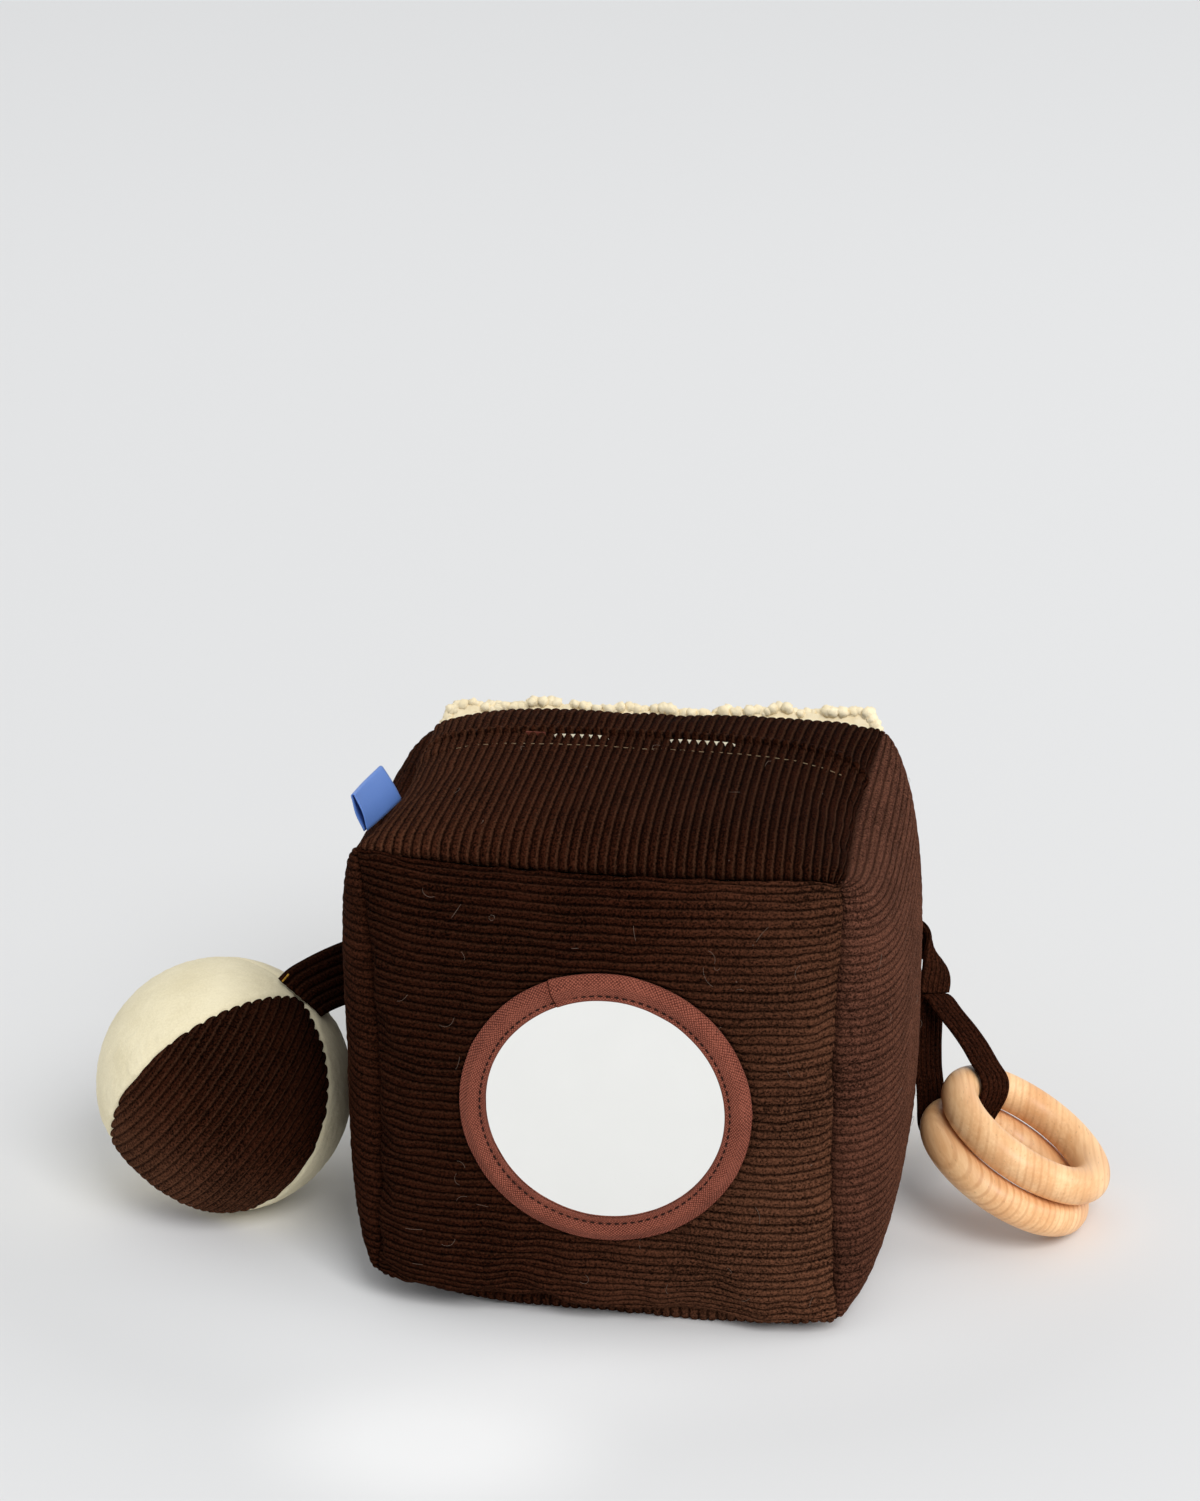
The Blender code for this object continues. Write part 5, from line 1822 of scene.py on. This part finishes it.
RING_STRAP_ROOT = np.array((0.074593, 0.065216, 0.081102))
RING_STEM_OUT = 0.0240
RING_STEM_RISE = 0.0080

RING_RAISED = np.array((-1.0, 0.0, 0.0))
RING_RAISED = unit_vector(RING_RAISED - RING_AXIS * np.dot(RING_RAISED, RING_AXIS))
RING_ACROSS = np.cross(RING_AXIS, RING_RAISED)
RING_LOWER = np.array((RING_PLACE_X, RING_PLACE_Y,
                       RING_RADIUS * math.sqrt(1 - RING_AXIS[2] ** 2) + RING_SECTION / 2))
RING_UPPER = RING_LOWER + RING_AXIS * (RING_SECTION + RING_STACK_GAP) - RING_ACROSS * RING_STACK_SHIFT
print("rings at", RING_LOWER.round(4), RING_UPPER.round(4))


def belt(circles, steps):
    """Points of the belt that runs round circles in turn, each (x, y, radius)."""
    count = len(circles)
    leaving = []
    for i in range(count):
        x0, y0, r0 = circles[i]
        x1, y1, r1 = circles[(i + 1) % count]
        heading = math.atan2(y1 - y0, x1 - x0)
        leaving.append(heading - math.pi / 2 + math.asin((r1 - r0) / math.hypot(x1 - x0, y1 - y0)))
    points = []
    for i, (x, y, radius) in enumerate(circles):
        start = leaving[i - 1]
        sweep = (leaving[i] - start) % (2 * math.pi)
        for angle in np.linspace(start, start + sweep, steps):
            points.append((x + radius * math.cos(angle), y + radius * math.sin(angle)))
    return points + points[:1]


def even_path(points, count):
    """The same path with places at even distances."""
    path = np.array(points)
    length = length_up_to(path)
    wanted = np.linspace(0, length[-1], count)
    return np.stack([np.interp(wanted, length, path[:, i]) for i in range(path.shape[1])], axis=-1)


def softened(path, spread):
    """A closed path with its bends rounded, as a strap's own stiffness does."""
    reach = int(spread * 3)
    weights = np.exp(-(np.arange(-reach, reach + 1) / spread) ** 2 / 2)
    weights = weights / weights.sum()
    ring = path[:-1]
    steps = range(-reach, reach + 1)
    soft = sum(weight * np.roll(ring, step, axis=0) for step, weight in zip(steps, weights))
    return np.concatenate((soft, soft[:1]))


def make_ring_straps():
    """The loop round both rings and the stem that carries it."""
    outward = RING_RAISED * math.cos(LOOP_ANGLE) + RING_ACROSS * math.sin(LOOP_ANGLE)
    tangent = np.cross(RING_AXIS, outward)
    low_hold = RING_LOWER + outward * RING_RADIUS
    high_hold = RING_UPPER + outward * RING_RADIUS
    wrap = RING_SECTION / 2 + LOOP_CLEARANCE + STRAP_THICKNESS / 2
    rise = np.dot(high_hold - low_hold, RING_AXIS)
    slip = np.dot(high_hold - low_hold, outward)
    throat = (slip + LOOP_THROAT_OUT, rise + LOOP_THROAT_UP)
    circles = [(0, 0, wrap), (*throat, LOOP_THROAT_RADIUS), (slip, rise, wrap)]
    origin = low_hold + tangent * np.dot(high_hold - low_hold, tangent) / 2
    flat = softened(even_path(belt(circles, BELT_STEPS), LOOP_STATIONS), LOOP_SOFTNESS)
    heading = np.gradient(flat, axis=0)
    beside = unit_rows(np.stack((heading[:, 1], -heading[:, 0]), axis=-1))
    from_throat = np.linalg.norm(flat - np.array(throat), axis=-1)
    bow = smooth_share(from_throat, *BOW_START) * (1 - smooth_share(from_throat, *BOW_END))
    flat = flat + beside * (LOOP_BOW * bow)[:, None]
    places = origin + flat[:, :1] * outward + flat[:, 1:] * RING_AXIS
    halves = [(STRAP_THICKNESS / 2, STRAP_THICKNESS / 2)] * len(places)
    acrosses = [tangent] * len(places)
    widths = [STRAP_WIDTH] * len(places)
    loop = sweep_strap("ring_loop_cloth", places, acrosses, widths, halves, True)
    dress(loop, "ring_loop", CORDUROY_STRAP, "corduroy", "ring_strap_loop")

    throat_place = origin + outward * throat[0] + RING_AXIS * throat[1]
    away = outward * math.cos(LOOP_STEM_ANGLE) + RING_AXIS * math.sin(LOOP_STEM_ANGLE)
    round_end = float(((places - throat_place) @ away).max()) + STRAP_THICKNESS / 2 + STRAP_SLACK / 2
    end = throat_place + away * (round_end + LOOP_STEM_GAP)
    leaving = np.array((math.cos(STRAP_LEAVE), math.sin(STRAP_LEAVE), 0))
    curve = (RING_STRAP_ROOT, RING_STRAP_ROOT + leaving * RING_STEM_OUT, end + away * RING_STEM_RISE, end)
    share = np.linspace(0, 1, STRAP_STATIONS)
    ease = smooth_share(share, 0, 1)[:, None]
    acrosses = np.array((0.0, 0.0, -1.0)) * (1 - ease) - tangent * ease
    flare = smooth_share(share, *FLARE_SPAN)
    half = STEM_THICKNESS / 2
    halves = [(half - STEM_THIN * part, half + STEM_FLARE * part) for part in flare]
    widths = STRAP_WIDTH + (STEM_END_WIDTH - STRAP_WIDTH) * flare
    stem = sweep_strap("ring_stem_cloth", bezier(curve, share), acrosses, widths, halves, False,
                       round_end + LOOP_STEM_GAP)
    dress(stem, "ring_stem", CORDUROY_STRAP, "corduroy", "ring_strap_stem")


make_ring_straps()

# %% [markdown]
# The rings are turned from beech and sanded round. A torus is their true shape, so it only needs
# enough segments and a small unevenness from sanding. Each ring has its own grain direction.

# %% Beech rings
RING_SANDING = 0.0025
RING_JOIN_ANGLE = 2.8


def make_ring(name, centre, grain_turn, shift, node, seed):
    """One beech ring."""
    ring = add_primitive(bpy.ops.mesh.primitive_torus_add, name, major_radius=RING_RADIUS,
                         minor_radius=RING_SECTION / 2, major_segments=144, minor_segments=48)
    for vert in ring.data.vertices:
        angle = math.atan2(vert.co.y, vert.co.x)
        sanded = float(value_noise(np.array(angle * 3 + 9), np.array(vert.co.z * 300 + 9), seed))
        vert.co *= 1 + RING_SANDING * sanded * (1 if abs(angle) < RING_JOIN_ANGLE else 0)
    turn = Vector(RING_AXIS).to_track_quat("Z", "Y").to_matrix().to_4x4()
    ring.data.transform(Matrix.Translation(centre) @ turn)
    ring.data.shade_smooth()
    dress(ring, node, beech_material("beech_" + name, grain_turn, shift), "beech", node)


make_ring("ring_top_wood", RING_UPPER, (0, -0.2, -0.14), (0.013, 0.02, 0.004), "ring_upper", 81)
make_ring("ring_low_wood", RING_LOWER, (0, -0.75, -0.5), (0.05, 0.01, 0.031), "ring_lower", 82)

# %% [markdown]
# A handled corduroy toy always carries a few loose fibres. Each is a thin, bent tube of a few faces
# that lies just over the pile, so it catches the light without being seen as a piece of its own.

# %% Loose fibres
FIBRE_RADIUS = 0.00005
FIBRE_STEPS = 9
FIBRE_SIDES = 3
FIBRE_LIFT = 0.0005
FIBRE_ARCH = 0.0006
FIBRE_SIZES = (0.0025, 0.0080)
FIBRE_BEND = 1.8
FIBRE_CLOTHS = (("front_cloth", 44, 0.08, 0.92), ("right_cloth", 9, 0.08, 0.92),
                ("top_front_cloth", 6, 0.15, 0.85))


def fibre_tube(path, radius):
    """Points and faces of a thin tube along a path."""
    points = []
    for i, place in enumerate(path):
        along = unit_vector(path[min(i + 1, len(path) - 1)] - path[max(i - 1, 0)])
        side = unit_vector(np.cross(along, (0.3, 0.5, 0.81)))
        other = np.cross(along, side)
        for corner in range(FIBRE_SIDES):
            angle = 2 * math.pi * corner / FIBRE_SIDES
            points.append(place + radius * (math.cos(angle) * side + math.sin(angle) * other))
    faces = [tuple(reversed(range(FIBRE_SIDES)))]
    for step in range(len(path) - 1):
        for corner in range(FIBRE_SIDES):
            after = (corner + 1) % FIBRE_SIDES
            low = step * FIBRE_SIDES
            high = low + FIBRE_SIDES
            faces.append((low + corner, low + after, high + after, high + corner))
    faces.append(tuple(range((len(path) - 1) * FIBRE_SIDES, len(path) * FIBRE_SIDES)))
    return points, faces


def fibre_path(points, normal, row, column, size, heading, bend):
    """A bent line near the cloth that starts at one point of its grid."""
    up = normal[row, column]
    side = unit_vector(np.cross(up, (0.1, 0.2, 0.97)))
    other = np.cross(up, side)
    place = points[row, column] + up * FIBRE_LIFT
    path = []
    for step in range(FIBRE_STEPS):
        share = step / (FIBRE_STEPS - 1)
        angle = heading + bend * share
        path.append(place + up * FIBRE_ARCH * math.sin(math.pi * share))
        place = place + (side * math.cos(angle) + other * math.sin(angle)) * (size / FIBRE_STEPS)
    return path


def make_fibres():
    """Loose fibres on the front, the right side and the top."""
    random = np.random.default_rng(23)
    all_points = []
    all_faces = []
    for panel, count, low, high in FIBRE_CLOTHS:
        points, normal, _, _ = WOVEN[panel]
        for _ in range(count):
            row = int(random.uniform(low, high) * points.shape[0])
            column = int(random.uniform(low, high) * points.shape[1])
            size = random.uniform(*FIBRE_SIZES)
            heading = random.uniform(0, 2 * math.pi)
            path = fibre_path(points, normal, row, column, size, heading, random.normal(0, FIBRE_BEND))
            from_mirror = math.hypot(path[0][0] - MIRROR_X, path[0][2] - MIRROR_Z)
            if panel == "front_cloth" and from_mirror < MIRROR_BED:
                continue
            tube, faces = fibre_tube(path, FIBRE_RADIUS)
            shift = len(all_points)
            all_points += tube
            all_faces += [tuple(i + shift for i in face) for face in faces]
    mesh = bpy.data.meshes.new("loose_fibres")
    mesh.from_pydata(all_points, [], all_faces)
    fibres = add_object("loose_fibres", mesh)
    face_outward(fibres)
    mesh.shade_smooth()
    dress(fibres, "block", LINT_FIBRE, "lining")


make_fibres()

# %% [markdown]
# The fillings are never seen, but they are real pieces. The block's is the simulated cube, drawn in
# under the cloth and cut for the pocket. The ball's is a sphere pressed to the ball's shape.

# %% Fillings
FILLING_DEPTH = 0.0075
BALL_FILLING_DEPTH = 0.0042
BALL_LUMPS = 0.0004
SLOT_HALF_WIDTH = 0.054
SLOT_HALF_THROAT = 0.0034
SLOT_BELOW = 0.003
SLOT_TOP = 0.19


def make_block_filling():
    """The block's stuffing."""
    places = cloth_places + block_push
    shrink = 1 - FILLING_DEPTH / HALF
    move_points(STUFFING.data, (places - BLOCK_MIDDLE) * shrink + BLOCK_MIDDLE)
    apply_modifier(STUFFING, "SUBSURF", levels=1, render_levels=1)
    low = (-SLOT_HALF_WIDTH, SLIT_Y - SLOT_HALF_THROAT, POCKET_LOW - SLOT_BELOW)
    high = (SLOT_HALF_WIDTH, SLIT_Y + SLOT_HALF_THROAT, SLOT_TOP)
    slot_cutter = make_box("slot_cutter", low, high)
    apply_modifier(STUFFING, "BOOLEAN", operation="DIFFERENCE", solver="EXACT", object=slot_cutter)
    bpy.data.objects.remove(slot_cutter)
    STUFFING.vertex_groups.clear()
    dress(STUFFING, "block", FILLING, "filling", "block_filling")


def make_ball_filling():
    """The ball's stuffing."""
    ball = add_primitive(bpy.ops.mesh.primitive_ico_sphere_add, "ball_stuffing", subdivisions=5, radius=1)
    direction = unit_rows(read_points(ball.data))
    lumps = value_noise(direction[:, 0] * 4 + 9, direction[:, 1] * 4 + 9, 91) * BALL_LUMPS
    points = stuffed_ball(direction) - direction * (BALL_FILLING_DEPTH + lumps[:, None])
    move_points(ball.data, points @ BALL_AXES + BALL_MIDDLE)
    ball.data.shade_smooth()
    dress(ball, "ball", FILLING, "filling", "ball_filling")


make_block_filling()
make_ball_filling()

# %% [markdown]
# The toy stands on a plain pale floor that runs back without an edge. A soft key light comes from the
# front right, a weaker one from the right, and a pale sky fills the shadows. The floor's colour holds a
# painted patch of the light that the mirror throws in front of the block, and painted light that makes
# the floor paler round the block, where its shadow falls.

# %% Floor
FLOOR_SIZE = 24.0
PATCH_PLACE = (-0.042, -0.150)
PATCH_HALF = (0.050, 0.040)
FLOOR_FADE = (0.05, 1.30)
FLOOR_NEAR = (0.748, 0.748, 0.748)
FLOOR_FAR = (0.795, 0.795, 0.795)
# Painted light: the floor is paler round the block, where its shadow falls, and paler in a patch where the
# mirror throws light.
FLOOR_PAINTED_SHADOW_LIFT = (0.88, 0.88, 0.88)
FLOOR_PAINTED_MIRROR_LIGHT = (0.875, 0.872, 0.868)
FLOOR_IN_MIRROR = (0.815, 0.812, 0.80)
SHADE_FADE = (0.085, 0.155)
SHADE_SCALE = (0.75, 1, 0)
SHADE_SHIFT = (0.02, 0, 0)


def floor_material():
    """Pale matt floor with a painted patch of the mirror's light and painted light that makes the block's
    shadow paler.
    """
    finish, tree, shader = new_material("pale_floor", 0.9, 0.1)
    place = link_place(tree)
    scale = (1 / PATCH_HALF[0], 1 / PATCH_HALF[1], 0)
    shift = (-PATCH_PLACE[0] / PATCH_HALF[0], -PATCH_PLACE[1] / PATCH_HALF[1], 0)
    from_patch = link_vector(tree, "LENGTH", link_mapping(tree, place, scale, (0, 0, 0), shift))
    near = link_range(tree, from_patch, 0.25, 1.45, 1.0, 0.0)
    depth = tree.nodes.new("ShaderNodeSeparateXYZ")
    tree.links.new(place, depth.inputs[0])
    far = link_range(tree, depth.outputs["Y"], *FLOOR_FADE)
    colour = link_mix(tree, far, FLOOR_NEAR, FLOOR_FAR)
    # Painted light: the floor is made paler round the block, where its shadow falls, so the shadow looks
    # lighter.
    from_block = link_vector(tree, "LENGTH", link_mapping(tree, place, SHADE_SCALE, (0, 0, 0), SHADE_SHIFT))
    painted_shadow_lift = link_range(tree, from_block, *SHADE_FADE, 1.0, 0.0)
    colour = link_mix(tree, painted_shadow_lift, colour, FLOOR_PAINTED_SHADOW_LIFT)
    # Painted light: the pale patch is the light that the mirror throws on the floor, painted into its colour.
    colour = link_mix(tree, near, colour, FLOOR_PAINTED_MIRROR_LIGHT)
    glossy = tree.nodes.new("ShaderNodeLightPath").outputs["Is Glossy Ray"]
    colour = link_mix(tree, glossy, colour, FLOOR_IN_MIRROR)
    tree.links.new(colour, shader.inputs["Base Color"])
    return finish


def make_floor():
    """The floor."""
    floor = add_primitive(bpy.ops.mesh.primitive_plane_add, "floor", size=FLOOR_SIZE, location=(0, 0, 0))
    floor.data.materials.append(floor_material())


make_floor()

# %% Light
KEY_AZIMUTH = math.radians(31)
KEY_HEIGHT = math.radians(44)
KEY_DISTANCE = 7.0
KEY_SIZE = 3.2
KEY_POWER = 262.0
SIDE_AZIMUTH = math.radians(96)
SIDE_HEIGHT = math.radians(20)
SIDE_DISTANCE = 6.0
SIDE_SIZE = 3.0
SIDE_POWER = 75.0
SKY_STRENGTH = 0.68
SKY_SEEN = 0.85
SKY_COLOUR = (0.97, 0.985, 1.0, 1.0)


def add_area_light(name, azimuth, height, distance, size, power):
    """A square soft light that looks at the block, at an azimuth right of its front."""
    data = bpy.data.lights.new(name, "AREA")
    data.size = size
    data.energy = power
    light = add_object(name, data)
    flat = math.cos(height)
    aim = Vector((math.sin(azimuth) * flat, -math.cos(azimuth) * flat, math.sin(height)))
    target = Vector((0, 0, BLOCK_MIDDLE[2]))
    light.location = target + aim * distance
    light.rotation_euler = (-aim).to_track_quat("-Z", "Y").to_euler()


def make_sky():
    """A pale sky that lights from all round and looks white in a mirror."""
    world = bpy.data.worlds.new("sky")
    bpy.context.scene.world = world
    world.use_nodes = True
    tree = world.node_tree
    background = tree.nodes["Background"]
    background.inputs["Color"].default_value = SKY_COLOUR
    path = tree.nodes.new("ShaderNodeLightPath")
    seen = link_math(tree, "MAXIMUM", path.outputs["Is Camera Ray"], path.outputs["Is Glossy Ray"])
    seen = link_math(tree, "MAXIMUM", seen, path.outputs["Is Transmission Ray"])
    strength = link_math(tree, "MULTIPLY_ADD", seen, SKY_SEEN - SKY_STRENGTH, SKY_STRENGTH)
    tree.links.new(strength, background.inputs["Strength"])


add_area_light("key", KEY_AZIMUTH, KEY_HEIGHT, KEY_DISTANCE, KEY_SIZE, KEY_POWER)
add_area_light("side", SIDE_AZIMUTH, SIDE_HEIGHT, SIDE_DISTANCE, SIDE_SIZE, SIDE_POWER)
make_sky()
bpy.context.scene.view_settings.view_transform = "Standard"

# %% [markdown]
# The last step updates the scene.

# %% Finish
bpy.context.view_layer.update()
